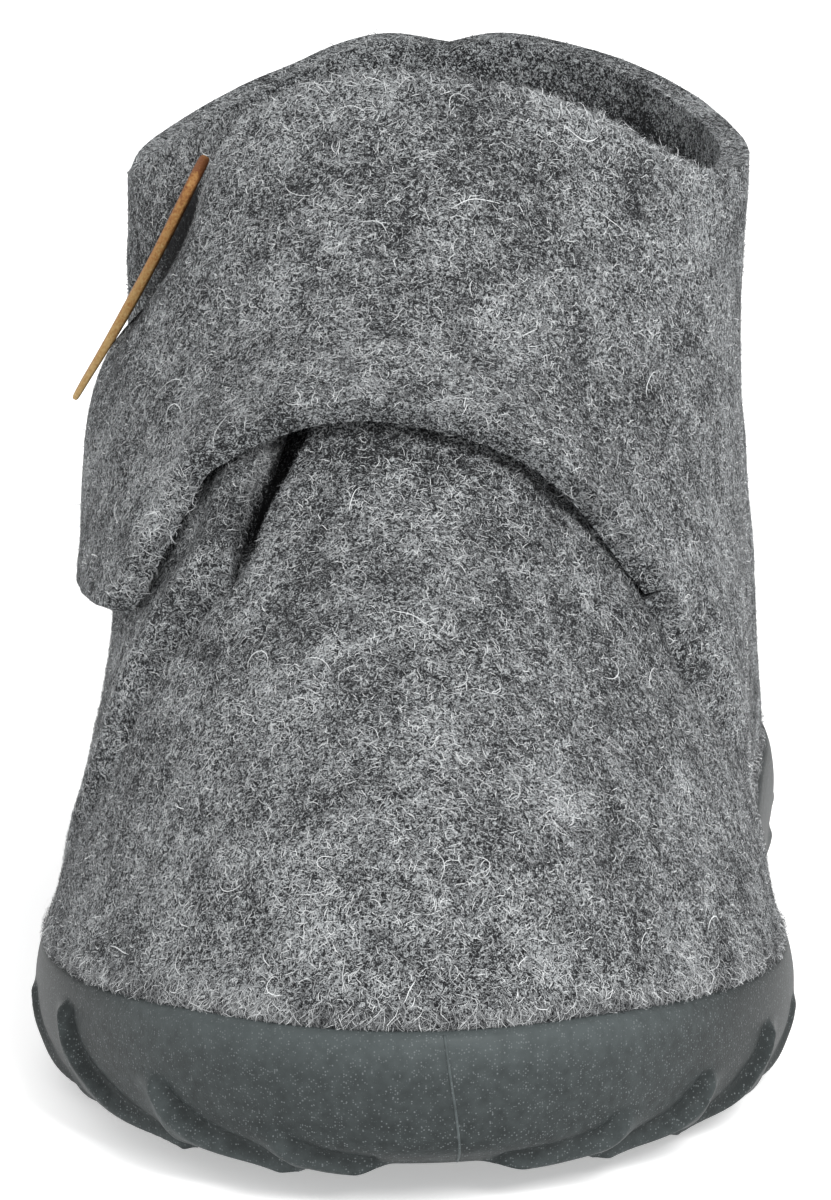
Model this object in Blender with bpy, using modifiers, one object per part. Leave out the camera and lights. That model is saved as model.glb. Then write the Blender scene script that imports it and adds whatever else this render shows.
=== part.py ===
"""Grey wool-felt baby slipper with a wrap-over strap on a moulded rubber cup sole.

The toe points to -Y, the outer side of the foot is -X and the sole stands on z = 0.
All sizes in the tables are millimetres; every mesh is scaled to metres as it is made.
"""
import bpy
import numpy as np

MM = 0.001
FELT = 2.6
GAP = 0.3
SOLE_LENGTH = 138.0

# Horizontal sections of the felt's outer face, one row per height.
# z, front, back, ball_lat, ball_med, heel_lat, heel_med, toe_cap, heel_cap, waist
LEVELS = np.array([
    (0.0, -66.0, 65.4, 31.4, 31.5, 30.7, 29.0, 50.0, 31.0, 1.6),
    (8.0, -66.8, 66.2, 32.1, 32.3, 31.4, 29.8, 50.0, 31.0, 1.6),
    (16.0, -66.2, 66.6, 31.8, 31.8, 31.2, 29.9, 50.0, 31.0, 1.4),
    (24.0, -63.4, 66.6, 29.8, 29.9, 29.0, 29.4, 51.0, 31.5, 0.8),
    (32.0, -57.6, 66.0, 28.3, 29.0, 28.1, 29.1, 54.0, 32.0, 0.3),
    (40.0, -47.4, 65.2, 27.8, 28.4, 27.8, 28.3, 57.0, 32.5, 0.0),
    (48.0, -35.4, 64.2, 27.6, 28.0, 27.9, 27.9, 56.0, 33.5, 0.0),
    (56.0, -23.0, 63.2, 27.8, 28.0, 28.3, 27.9, 52.0, 35.0, 0.0),
    (64.0, -12.0, 62.2, 28.4, 28.5, 28.7, 28.4, 46.0, 36.5, 0.0),
    (72.0, -2.4, 61.4, 29.2, 29.4, 29.4, 29.4, 40.0, 38.0, 0.0),
    (90.0, 17.0, 60.0, 29.6, 29.8, 29.8, 29.8, 27.0, 38.0, 0.0),
])
BALL_Y = -22.0
HEEL_Y = 36.0
TOE_ROUND = 1.96
TOE_SKEW = 2.5
HEEL_ROUND = 2.1
WAIST_Y = 8.0
WAIST_LENGTH = 22.0

# Hollow that the closed strap presses into the outer quarter.
DENT_DEPTH = 4.2
DENT_Y = 16.0
DENT_Z = 68.0
DENT_LENGTH = 8.0
DENT_HEIGHT = 13.0
DENT_EDGE_X = 15.0

# Lines where vamp and quarters part: y of the outer and of the inner line by height.
# z, lateral, medial
CREASES = np.array([
    (0.0, -4.0, 2.0),
    (12.0, -10.0, -7.0),
    (20.0, -17.0, -13.0),
    (28.0, -23.0, -18.5),
    (35.0, -26.5, -21.5),
    (40.0, -27.6, -22.2),
    (44.0, -28.4, -22.6),
    (49.0, -26.6, -15.5),
    (56.0, -20.3, -5.0),
    (66.0, -8.4, 8.0),
    (73.0, -0.8, 16.0),
    (90.0, 18.3, 35.0),
])
SLIT_END_LAT = 46.0
SLIT_END_MED = 44.0
SLIT_WIDTH = 3.7
LAYER_RUN = 0.8
SLIT_TAPER = 8.0
SEAM_WIDTH = 0.6
TROUGH_DEPTH = 0.8
TROUGH_START_Z = 18.0
TROUGH_FULL_Z = 41.0
INNER_TROUGH_REACH = 7.0
INNER_TROUGH_FADE = 9.0

# Top edge of the upper from the back seam (0) to the middle of the tongue (1).
# round, lateral, medial
TOPS = np.array([
    (0.00, 73.3, 73.3),
    (0.04, 74.2, 74.2),
    (0.12, 71.7, 73.8),
    (0.22, 69.0, 72.4),
    (0.30, 68.7, 71.3),
    (0.36, 70.6, 70.7),
    (0.43, 75.2, 70.4),
    (0.50, 78.4, 70.4),
    (0.56, 80.0, 71.3),
    (0.62, 80.2, 72.4),
    (0.70, 80.0, 73.5),
    (0.85, 79.6, 77.0),
    (1.00, 79.5, 79.5),
])
CREASE_ROUND = 0.62
VAMP_COLUMNS = 22
QUARTER_COLUMNS = 22
ROWS_LOW = 8
ROWS_HIGH = 6

# Strap edges from the root on the inner quarter (0) to the outer end (1).
# along, front_s, front_z, rear_s, rear_z
STRAP = np.array([
    (0.00, 0.1080, 44.0, 0.1540, 73.8),
    (0.10, 0.0900, 47.5, 0.1280, 75.0),
    (0.22, 0.0620, 52.2, 0.0900, 77.6),
    (0.34, 0.0340, 55.6, 0.0480, 80.0),
    (0.46, 0.0020, 57.2, 0.0060, 81.2),
    (0.56, -0.0260, 57.0, -0.0340, 81.2),
    (0.66, -0.0540, 54.9, -0.0740, 79.4),
    (0.75, -0.0780, 52.2, -0.1080, 75.8),
    (0.83, -0.0930, 49.4, -0.1370, 69.0),
    (0.90, -0.1010, 46.2, -0.1890, 60.8),
    (0.95, -0.1040, 43.4, -0.2300, 52.5),
    (1.00, -0.1080, 39.6, -0.2560, 36.4),
])
STRAP_STEPS = 26
LOBE_STEPS = 9
STRAP_ROWS = 8
STRAP_ROOT_RUN = 0.18
LOBE_START = 0.90
LOBE_NARROWING = 0.42
LOBE_FLARE = 0.3
FLARE_START = 0.7

# Outsole at its widest line:
# front, back, ball_lat, ball_med, heel_lat, heel_med, toe_cap, heel_cap, waist
SOLE_PLAN = (-69.0, 69.0, 33.9, 34.0, 32.9, 31.3, 50.0, 32.0, 1.8)
# Height of the rim by y.
RIM = np.array([
    (-70.0, 17.0),
    (-62.0, 16.0),
    (-50.0, 13.8),
    (-36.0, 11.8),
    (-20.0, 10.8),
    (0.0, 10.6),
    (20.0, 11.2),
    (40.0, 12.6),
    (70.0, 13.6),
])
# Side profile from the rim down: down, inset from the widest line, part of the wall height.
WALL = np.array([
    (0.00, 0.55, 1.00),
    (0.14, 0.20, 0.88),
    (0.42, 0.00, 0.60),
    (0.66, 0.55, 0.34),
    (0.86, 1.90, 0.11),
    (1.00, 4.20, 0.00),
])
SOLE_POINTS = 84
INNER_LOOP = 10.0
RIM_ROUND = 0.3
WALL_STEPS = (0.0, 0.10, 0.24, 0.42, 0.60, 0.78, 0.90, 1.0)
TOE_SPRING = 4.6
TOE_SPRING_Y = -31.0
TOE_SPRING_POWER = 1.3
HEEL_SPRING = 1.6
HEEL_SPRING_Y = 52.0
ARCH = 1.8
ARCH_START_Y = -6.0
ARCH_END_Y = 20.0
CUP_FLOOR = 5.0
FLOOR_RISE = 0.8
INSOLE_THICKNESS = 3.0
INSOLE_POINTS = 56
INSOLE_EASE = 0.2

# Forefoot lugs: far end from the toe along the outline, run back toward the toe, top edge and height.
# far, run, top, step
OUTER_LUGS = (
    (10.0, 7.6, 0.76, 1.0),
    (23.6, 12.6, 0.58, 1.0),
    (41.0, 16.4, 0.40, 0.7),
    (57.0, 15.0, 0.40, 0.45),
    (71.0, 13.0, 0.42, 0.45),
)
INNER_LUGS = (
    (22.4, 10.8, 0.76, 1.0),
    (34.2, 10.8, 0.62, 0.9),
    (47.2, 12.0, 0.46, 0.6),
    (60.2, 12.0, 0.42, 0.45),
    (73.2, 12.0, 0.42, 0.45),
)
HEEL_LUG_PITCH = 11.6
HEEL_LUG_FILL = 0.93
HEEL_LUG_TOP = 0.50
HEEL_LUG_STEP = 0.5
LUG_FADE = 0.5
LUG_REACH = 0.9
LUG_CLEAR = 0.3
LUG_SINK = 1.0
LUG_STEPS = 5
LUG_ROWS = 3
LUG_FOOT = 0.93
LUG_SWEEP = 0.45
LUGS_HEEL = 4
HEEL_HALF_GAP = 9.0

TAB_TOP = (-20.6, 9.0, 72.6)
TAB_FOOT = (-32.2, 16.2, 49.7)
TAB_WIDTH = 6.0
TAB_THICKNESS = 1.1
TAB_CORNER = 1.6
TAB_ACROSS = (0.07, 1.0, 0.0)

FELT_GREY = (0.155, 0.155, 0.160)
INSOLE_GREY = (0.120, 0.120, 0.125)
RUBBER_SLATE = (0.055, 0.062, 0.068)
LEATHER_TAN = (0.42, 0.25, 0.09)


def curve(table, column, at):
    """Smooth curve through one column of a table whose first column is the station."""
    x = table[:, 0]
    y = table[:, column]
    slope = np.gradient(y, x)
    at = np.clip(at, x[0], x[-1])
    k = np.clip(np.searchsorted(x, at, side="right") - 1, 0, len(x) - 2)
    h = x[k + 1] - x[k]
    t = (at - x[k]) / h
    return ((1 + 2 * t) * (1 - t) ** 2 * y[k] + t * (1 - t) ** 2 * h * slope[k]
            + t * t * (3 - 2 * t) * y[k + 1] + t * t * (t - 1) * h * slope[k + 1])


def ease(x):
    """Smooth step from 0 to 1."""
    x = np.clip(x, 0.0, 1.0)
    return x * x * (3.0 - 2.0 * x)


def half_outline(front, back, ball, heel, toe_cap, heel_cap, waist, count=241):
    """One side of a plan outline from toe to heel, evenly spaced along its length."""
    turn = np.linspace(0.0, np.pi, 4 * count)
    y = front + (back - front) * (1.0 - np.cos(turn)) / 2.0
    width = ball + (heel - ball) * ease((y - BALL_Y) / (HEEL_Y - BALL_Y))
    width = width - waist * np.exp(-((y - WAIST_Y) / WAIST_LENGTH) ** 2)
    toe = np.clip((front + toe_cap - y) / toe_cap, 0.0, 1.0)
    end = np.clip((y - back + heel_cap) / heel_cap, 0.0, 1.0)
    toe_arc = (1.0 - toe ** TOE_ROUND) ** (1.0 / TOE_ROUND)
    heel_arc = (1.0 - end ** HEEL_ROUND) ** (1.0 / HEEL_ROUND)
    x = width * toe_arc * heel_arc
    run = np.concatenate(([0.0], np.cumsum(np.hypot(np.diff(x), np.diff(y)))))
    even = np.linspace(0.0, run[-1], count)
    return np.interp(even, run, x), np.interp(even, run, y)


def plan(front, back, ball_lat, ball_med, heel_lat, heel_med, toe_cap, heel_cap, waist):
    """Closed outline against s, from -0.5 (back, by the outer side) through 0 (toe) to 0.5 (back)."""
    x_lat, y_lat = half_outline(front, back, ball_lat, heel_lat, toe_cap + TOE_SKEW, heel_cap, waist)
    x_med, y_med = half_outline(front, back, ball_med, heel_med, toe_cap, heel_cap, waist)
    return np.concatenate((-x_lat[::-1], x_med[1:])), np.concatenate((y_lat[::-1], y_med[1:]))


LEVEL_Z = np.arange(0.0, 91.0)
LEVEL_OUTLINES = [plan(*[curve(LEVELS, column, z) for column in range(1, 10)]) for z in LEVEL_Z]
LEVEL_X = np.array([outline[0] for outline in LEVEL_OUTLINES])
LEVEL_Y = np.array([outline[1] for outline in LEVEL_OUTLINES])
LEVEL_GIRTH = np.hypot(np.diff(LEVEL_X, axis=1), np.diff(LEVEL_Y, axis=1)).sum(axis=1)
DENT = DENT_DEPTH * np.exp(-((LEVEL_Y - DENT_Y) / DENT_LENGTH) ** 2
                           - ((LEVEL_Z[:, None] - DENT_Z) / DENT_HEIGHT) ** 2)
LEVEL_X = LEVEL_X + DENT * np.clip(-LEVEL_X / DENT_EDGE_X, 0.0, 1.0)


def sample(grid, s, z):
    """Value of the stacked outlines at s (closed at the back seam) and height z."""
    u = np.mod(s + 0.5, 1.0) * (grid.shape[1] - 1)
    v = np.clip(z, 0.0, grid.shape[0] - 1.001)
    i = np.minimum(u.astype(int), grid.shape[1] - 2)
    j = v.astype(int)
    a = u - i
    b = v - j
    low = grid[j, i] * (1 - a) + grid[j, i + 1] * a
    high = grid[j + 1, i] * (1 - a) + grid[j + 1, i + 1] * a
    return low * (1 - b) + high * b


def girth(z):
    """Length round the outline at each height."""
    return np.interp(z, LEVEL_Z, LEVEL_GIRTH)


def last_point(s, z):
    """Point of the felt's outer face before any crease."""
    return np.stack((sample(LEVEL_X, s, z), sample(LEVEL_Y, s, z), z + 0.0 * s), axis=-1)


def last_normal(s, z):
    """Outward direction of that face, from small steps along and up."""
    step_s = 0.004
    step_z = 0.8
    along = last_point(s + step_s, z) - last_point(s - step_s, z)
    up = last_point(s, z + step_z) - last_point(s, z - step_z)
    normal = np.cross(along, up)
    return normal / np.linalg.norm(normal, axis=-1, keepdims=True)


def crease_s(z, column):
    """Place along the outline of a parting line (column 1 outer, 2 inner) at each height."""
    stations = np.linspace(0.004, 0.49, 300) * (-1.0 if column == 1 else 1.0)
    heights = z.ravel()
    target = curve(CREASES, column, heights)
    along, up = np.meshgrid(stations, heights)
    rows = sample(LEVEL_Y, along, up)
    found = [np.interp(y, row, stations) for y, row in zip(target, rows)]
    return np.array(found).reshape(z.shape)


def layer_drop(s, z):
    """Depth of the tongue below the quarters: one felt layer at the strap's root, none at the slit."""
    start = crease_s(z, 1)
    end = crease_s(z, 2)
    across = np.clip((s - start) / (end - start), 0.0, 1.0)
    return (FELT + GAP) * ease(across / LAYER_RUN)


def make_object(name, points, faces):
    """Smooth-shaded mesh object from points in millimetres."""
    mesh = bpy.data.meshes.new(name)
    corners = [[int(corner) for corner in face] for face in faces]
    mesh.from_pydata((np.asarray(points).reshape(-1, 3) * MM).tolist(), [], corners)
    mesh.update()
    mesh.shade_smooth()
    return bpy.data.objects.new(name, mesh)


def grid_faces(rows, columns, wrap=False, skip=()):
    """Quads between the points of a grid stored row by row."""
    faces = []
    for j in range(rows - 1):
        for i in range(columns if wrap else columns - 1):
            k = (i + 1) % columns
            low = j * columns
            high = low + columns
            if (j, i) not in skip:
                faces.append((low + i, low + k, high + k, high + i))
    return faces


def add_thickness(felt):
    """Real felt thickness, grown inward from the outer face."""
    shell = felt.modifiers.new("felt_thickness", "SOLIDIFY")
    shell.thickness = FELT * MM
    shell.offset = -1.0
    shell.use_even_offset = True


def arch_z(y):
    """Raised waist of the underside."""
    span = np.clip((y - ARCH_START_Y) / (ARCH_END_Y - ARCH_START_Y), 0.0, 1.0)
    return ARCH * np.sin(np.pi * span) ** 2


def spring_z(y):
    """Toe and heel spring; zero on the two flats."""
    toe = np.clip((TOE_SPRING_Y - y) / (TOE_SPRING_Y + SOLE_LENGTH / 2), 0.0, 1.2)
    heel = np.clip((y - HEEL_SPRING_Y) / (SOLE_LENGTH / 2 - HEEL_SPRING_Y), 0.0, 1.2)
    return TOE_SPRING * toe ** TOE_SPRING_POWER + HEEL_SPRING * heel ** 2


def floor_z(y):
    """Floor of the sole's cup."""
    return CUP_FLOOR + FLOOR_RISE * spring_z(y)


def build_upper():
    """Hollow felt wall; its columns follow the parting lines, and the slits are columns left open."""
    back_to_crease = np.linspace(0.0, 1.0, QUARTER_COLUMNS + 1)
    over_vamp = np.linspace(-1.0, 1.0, VAMP_COLUMNS + 1)
    part = np.concatenate((back_to_crease, over_vamp, back_to_crease[::-1][:-1]))
    lateral = np.arange(len(part)) <= QUARTER_COLUMNS
    medial = np.arange(len(part)) > QUARTER_COLUMNS + VAMP_COLUMNS + 1
    vamp = ~lateral & ~medial
    outer_half = lateral | (vamp & (part < 0.0))
    rounds = np.where(vamp, 1.0 - (1.0 - CREASE_ROUND) * np.abs(part), CREASE_ROUND * part)
    top = np.where(outer_half, curve(TOPS, 1, rounds), curve(TOPS, 2, rounds))
    toward_inner = np.where(vamp, (part + 1) / 2, np.where(lateral, 0, 1))
    middle = SLIT_END_LAT + (SLIT_END_MED - SLIT_END_LAT) * toward_inner
    rows = ROWS_LOW + ROWS_HIGH + 1
    z = np.zeros((rows, len(part)))
    foot = np.full(len(part), CUP_FLOOR + GAP)
    for repeat in range(3):
        low = np.linspace(0.0, 1.0, ROWS_LOW + 1)[:, None]
        high = np.linspace(0.0, 1.0, ROWS_HIGH + 1)[1:, None]
        z = np.concatenate((foot + (middle - foot) * low, middle + (top - middle) * high))
        lat_line = crease_s(z, 1)
        med_line = crease_s(z, 2)
        slit = SEAM_WIDTH + (SLIT_WIDTH - SEAM_WIDTH) * ease((z - SLIT_END_LAT) / SLIT_TAPER)
        lat_edge = lat_line - slit / girth(z)
        med_edge = med_line + SEAM_WIDTH / girth(z)
        s = np.where(part < 0.0, -part * lat_line, part * med_line)
        s = np.where(lateral, -0.5 + (lat_edge + 0.5) * part, s)
        s = np.where(medial, 0.5 + (med_edge - 0.5) * part, s)
        foot = floor_z(sample(LEVEL_Y, s[0], foot)) + GAP
    grown = ease((z - TROUGH_START_Z) / (TROUGH_FULL_Z - TROUGH_START_Z))
    below = ease((SLIT_END_MED - z) / INNER_TROUGH_FADE)
    past_line = np.maximum((s - med_line) * girth(z), 0.0)
    inner_side = (FELT + GAP) * below * (1.0 - ease(past_line / INNER_TROUGH_REACH))
    drop = np.where(vamp, layer_drop(s, z), np.where(medial, inner_side, 0.0)) * grown
    beside = np.isin(np.arange(len(part)), (QUARTER_COLUMNS, QUARTER_COLUMNS + 1))
    below_slit = np.arange(rows)[:, None] <= ROWS_LOW
    drop = drop + np.where(beside & below_slit, TROUGH_DEPTH * grown, 0.0)
    points = last_point(s, z) - last_normal(s, z) * drop[..., None]
    open_rows = range(ROWS_LOW, rows - 1)
    skip = {(j, QUARTER_COLUMNS) for j in open_rows}
    skip |= {(j, QUARTER_COLUMNS + VAMP_COLUMNS + 1) for j in open_rows}
    upper = make_object("upper", points, grid_faces(rows, len(part), wrap=True, skip=skip))
    add_thickness(upper)
    return upper


def strap_face(p, q):
    """Outer face of the strap at p along and q across."""
    toward_end = np.clip((p - LOBE_START) / (1.0 - LOBE_START), 0.0, 1.0)
    narrow = 1.0 - LOBE_NARROWING * (1.0 - np.sqrt(1.0 - toward_end ** 2))
    q = 0.5 + (q - 0.5) * narrow
    s = curve(STRAP, 1, p) * (1 - q) + curve(STRAP, 3, p) * q
    z = curve(STRAP, 2, p) * (1 - q) + curve(STRAP, 4, p) * q
    root = crease_s(z, 2) + (SEAM_WIDTH - GAP) / girth(z)
    s = root + (s - root) * ease(p / STRAP_ROOT_RUN)
    flare = LOBE_FLARE * ease((p - FLARE_START) / (1.0 - FLARE_START))
    rise = GAP + FELT + flare - layer_drop(s, z)
    return last_point(s, z) + last_normal(s, z) * rise[..., None]


def build_strap():
    """Felt strap, flush with the inner quarter at its root and loose over the outer quarter."""
    band = np.linspace(0.0, LOBE_START, STRAP_STEPS)
    lobe = LOBE_START + (1.0 - LOBE_START) * np.sin(np.linspace(0.0, np.pi / 2, LOBE_STEPS))
    along = np.concatenate((band, lobe[1:]))
    q, p = np.meshgrid(np.linspace(0.0, 1.0, STRAP_ROWS + 1), along)
    strap = make_object("strap", strap_face(p, q), grid_faces(*p.shape))
    add_thickness(strap)
    return strap


def offset_loop(x, y, inset):
    """Closed plan loop moved inward by a distance along its own normal."""
    dx = np.roll(x, -1) - np.roll(x, 1)
    dy = np.roll(y, -1) - np.roll(y, 1)
    size = np.hypot(dx, dy)
    return x - dy / size * inset, y + dx / size * inset


def felt_loop(z_of_y, inset, count):
    """Plan loop of the felt at the heights given by a function of y, a distance inside its outer face."""
    s = np.linspace(-0.5, 0.5, count + 1)[:-1]
    z = np.full(count, CUP_FLOOR)
    for repeat in range(3):
        z = z_of_y(sample(LEVEL_Y, s, z))
    x, y = offset_loop(sample(LEVEL_X, s, z), sample(LEVEL_Y, s, z), inset)
    return np.stack((x, y, z), axis=-1)


def ladder_faces(start, count, flip):
    """Cross strips that close a loop whose points mirror about its first point."""
    faces = []
    for i in range(count // 2):
        corners = [start + i, start + i + 1, start + (count - i - 1) % count, start + (count - i) % count]
        distinct = list(dict.fromkeys(corners))
        if len(distinct) > 2:
            faces.append(distinct[::-1] if flip else distinct)
    return faces


def rim_z(y):
    """Height of the cup's rim."""
    return curve(RIM, 1, y)


def underside_z(y):
    """Underside of the sole: two flats on the floor, springs at the ends and a raised waist."""
    return spring_z(y) + arch_z(y)


def wall_point(s, down):
    """Point of the sole's outer side, from the rim (down 0) to the underside (down 1)."""
    plan_x, plan_y = plan(*SOLE_PLAN)
    stations = np.linspace(-0.5, 0.5, len(plan_x))
    normal_x, normal_y = offset_loop(plan_x, plan_y, 1.0)
    place = np.mod(s + 0.5, 1.0) - 0.5
    x = np.interp(place, stations, plan_x)
    y = np.interp(place, stations, plan_y)
    inset = curve(WALL, 1, down)
    x = x + (np.interp(place, stations, normal_x) - x) * inset
    y = y + (np.interp(place, stations, normal_y) - y) * inset
    low = underside_z(y)
    return np.stack((x, y, low + (rim_z(y) - low) * curve(WALL, 2, down)), axis=-1)


def wall_normal(s, down):
    """Outward direction of the sole's outer side."""
    step = 0.004
    lean = 0.03
    along = wall_point(s + step, down) - wall_point(s - step, down)
    up = wall_point(s, np.clip(down - lean, 0.0, 1.0)) - wall_point(s, np.clip(down + lean, 0.0, 1.0))
    normal = np.cross(along, up)
    return normal / np.linalg.norm(normal, axis=-1, keepdims=True)


def lug(start, run, top, step):
    """One claw-shaped lug: tall at its start, swept down to the sole's edge along its run."""
    along = np.linspace(0.0, LUG_REACH, LUG_STEPS)[:, None] + np.zeros(LUG_ROWS)
    high = top + (LUG_FOOT - top) * along ** LUG_SWEEP
    down = high + (LUG_FOOT - high) * np.linspace(0.0, 1.0, LUG_ROWS)[None, :]
    s = start + run * along
    face = wall_point(s, down)
    normal = wall_normal(s, down)
    outer = face + normal * (step * (1.0 - LUG_FADE * along))[..., None]
    outer[..., 2] = np.maximum(outer[..., 2], LUG_CLEAR)
    inner = face - normal * LUG_SINK
    points = np.concatenate((outer.reshape(-1, 3), inner.reshape(-1, 3)))
    count = LUG_STEPS * LUG_ROWS
    faces = grid_faces(LUG_STEPS, LUG_ROWS)
    faces += [[corner + count for corner in face[::-1]] for face in grid_faces(LUG_STEPS, LUG_ROWS)]
    ring = [i * LUG_ROWS for i in range(LUG_STEPS)]
    ring += [(LUG_STEPS - 1) * LUG_ROWS + j for j in range(1, LUG_ROWS)]
    ring += [i * LUG_ROWS + LUG_ROWS - 1 for i in range(LUG_STEPS - 2, -1, -1)]
    ring += list(range(LUG_ROWS - 2, 0, -1))
    for a, b in zip(ring, ring[1:] + ring[:1]):
        faces.append((a, b, b + count, a + count))
    if run > 0.0:
        faces = [face[::-1] for face in faces]
    return points, faces


def build_lugs():
    """Lugs swept toward the toe round the forefoot and toward the back round the heel."""
    length = np.hypot(*[np.diff(axis) for axis in plan(*SOLE_PLAN)]).sum()
    rows = []
    for side, forefoot in ((-1.0, OUTER_LUGS), (1.0, INNER_LUGS)):
        for far, run, top, step in forefoot:
            rows.append((side * far, -side * run, top, step))
        for n in range(LUGS_HEEL):
            far = length / 2 - HEEL_HALF_GAP - (n + 1) * HEEL_LUG_PITCH
            rows.append((side * far, side * HEEL_LUG_PITCH * HEEL_LUG_FILL, HEEL_LUG_TOP, HEEL_LUG_STEP))
    points = []
    faces = []
    total = 0
    for far, run, top, step in rows:
        lug_points, lug_faces = lug(far / length, run / length, top, step)
        points.append(lug_points)
        faces += [[corner + total for corner in face] for face in lug_faces]
        total += len(lug_points)
    return make_object("lug_form", np.concatenate(points), faces)


def build_outsole(lugs):
    """Rubber cup sole: cup floor, cup wall clear of the felt, rim, rounded side and sprung underside."""
    s = np.linspace(-0.5, 0.5, SOLE_POINTS + 1)[:-1]
    floor_edge = felt_loop(floor_z, -GAP, SOLE_POINTS)
    floor_x, floor_y = offset_loop(floor_edge[:, 0], floor_edge[:, 1], INNER_LOOP)
    floor_inner = np.stack((floor_x, floor_y, floor_z(floor_y)), axis=-1)
    rim_edge = felt_loop(rim_z, -GAP, SOLE_POINTS)
    rim_edge[:, 2] -= RIM_ROUND
    cup_middle = felt_loop(lambda y: (floor_z(y) + rim_z(y)) / 2, -GAP, SOLE_POINTS)
    loops = [floor_inner, floor_edge, cup_middle, rim_edge]
    loops += [wall_point(s, down + 0.0 * s) for down in WALL_STEPS]
    under_x, under_y = offset_loop(loops[-1][:, 0], loops[-1][:, 1], INNER_LOOP)
    loops.append(np.stack((under_x, under_y, underside_z(under_y)), axis=-1))
    faces = [face[::-1] for face in grid_faces(len(loops), SOLE_POINTS, wrap=True)]
    faces += ladder_faces(0, SOLE_POINTS, False)
    faces += ladder_faces((len(loops) - 1) * SOLE_POINTS, SOLE_POINTS, True)
    outsole = make_object("outsole", np.concatenate(loops), faces)
    union = outsole.modifiers.new("lugs", "BOOLEAN")
    union.operation = "UNION"
    union.object = lugs
    return outsole


def build_insole():
    """Felt footbed lying in the cup, inside the lower edge of the upper."""
    low = felt_loop(lambda y: floor_z(y) + GAP, FELT + GAP + INSOLE_EASE, INSOLE_POINTS)
    high = low.copy()
    high[:, 2] += INSOLE_THICKNESS
    faces = grid_faces(2, INSOLE_POINTS, wrap=True)
    faces += ladder_faces(0, INSOLE_POINTS, True)
    faces += ladder_faces(INSOLE_POINTS, INSOLE_POINTS, False)
    return make_object("insole", np.concatenate((low, high)), faces)


def build_tab():
    """Flat leather tab with rounded corners, standing along the rear edge of the strap's outer end."""
    top = np.array(TAB_TOP)
    foot = np.array(TAB_FOOT)
    length = np.linalg.norm(foot - top)
    along = (foot - top) / length
    across = np.array(TAB_ACROSS) - along * np.dot(TAB_ACROSS, along)
    across = across / np.linalg.norm(across)
    outline = []
    for corner, turn in enumerate(((1, 1), (0, 1), (0, 0), (1, 0))):
        centre_u = TAB_CORNER + turn[0] * (length - 2 * TAB_CORNER)
        centre_v = TAB_CORNER + turn[1] * (TAB_WIDTH - 2 * TAB_CORNER)
        for angle in np.linspace(0.0, np.pi / 2, 4) + corner * np.pi / 2:
            u = centre_u + TAB_CORNER * np.cos(angle)
            v = centre_v + TAB_CORNER * np.sin(angle)
            outline.append(top + along * u + across * v)
    tab = make_object("leather_tab", outline, [range(len(outline))])
    plate = tab.modifiers.new("leather_thickness", "SOLIDIFY")
    plate.thickness = TAB_THICKNESS * MM
    plate.offset = 0.0
    return tab


def finish(item, colour, roughness, group):
    """Material and collection of one piece."""
    material = bpy.data.materials.new(item.name)
    material.use_nodes = True
    shader = material.node_tree.nodes["Principled BSDF"]
    shader.inputs["Base Color"].default_value = (*colour, 1.0)
    shader.inputs["Roughness"].default_value = roughness
    shader.inputs["Metallic"].default_value = 0.0
    item.data.materials.append(material)
    group.objects.link(item)


for leftover in list(bpy.data.objects):
    bpy.data.objects.remove(leftover, do_unlink=True)

slipper = bpy.data.collections.new("baby_slipper")
forms = bpy.data.collections.new("cutters")
bpy.context.scene.collection.children.link(slipper)
bpy.context.scene.collection.children.link(forms)

lug_form = build_lugs()
lug_form.hide_render = True
lug_form.display_type = "WIRE"
forms.objects.link(lug_form)

finish(build_outsole(lug_form), RUBBER_SLATE, 0.6, slipper)
finish(build_insole(), INSOLE_GREY, 0.95, slipper)
finish(build_upper(), FELT_GREY, 0.95, slipper)
finish(build_strap(), FELT_GREY, 0.95, slipper)
finish(build_tab(), LEATHER_TAN, 0.55, slipper)
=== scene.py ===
# %% [markdown]
# # A felt baby slipper
# The slipper has a hollow grey wool-felt upper with a strap that wraps over the instep, a small
# leather tab and a dark rubber cup sole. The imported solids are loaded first, because every visible
# piece is worked out in the same frame: toe to -Y, outer side to -X, floor at z = 0.

import bmesh
import bpy
import numpy as np
from mathutils import Matrix


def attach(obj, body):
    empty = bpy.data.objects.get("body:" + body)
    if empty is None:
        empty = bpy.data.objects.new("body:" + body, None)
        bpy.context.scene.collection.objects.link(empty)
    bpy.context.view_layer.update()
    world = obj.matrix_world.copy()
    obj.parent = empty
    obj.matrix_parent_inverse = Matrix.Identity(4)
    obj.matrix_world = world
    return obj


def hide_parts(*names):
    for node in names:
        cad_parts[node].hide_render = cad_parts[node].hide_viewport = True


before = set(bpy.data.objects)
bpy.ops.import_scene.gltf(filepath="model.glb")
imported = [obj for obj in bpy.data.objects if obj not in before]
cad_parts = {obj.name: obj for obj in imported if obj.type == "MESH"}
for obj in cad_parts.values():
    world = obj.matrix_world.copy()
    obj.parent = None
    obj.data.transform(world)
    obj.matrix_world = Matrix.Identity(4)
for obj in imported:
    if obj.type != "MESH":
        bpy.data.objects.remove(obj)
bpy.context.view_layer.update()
MM = 0.001
print("solids:", sorted(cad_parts))

# %% [markdown]
# ## Camera
# The photograph looks at the toe from a little above, through a long lens. Parallel edges stay almost
# parallel, so the lens is long and far away. The numbers come from fitting the sole's width and the
# collar's height to the picture's outline.

# %% Camera
VIEW_TILT = np.radians(15.5)
VIEW_TURN = np.radians(2.3)
VIEW_DISTANCE = 1.2
VIEW_FOCAL_PIXELS = 13412.0
PICTURE_HEIGHT = 1200.0
SENSOR = 36.0
AIM_POINT = np.array((0.0, 0.0, 0.038))
AIM_LEFT = 0.00068
AIM_DOWN = 0.00169
CLIP_END = 50.0

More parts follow.
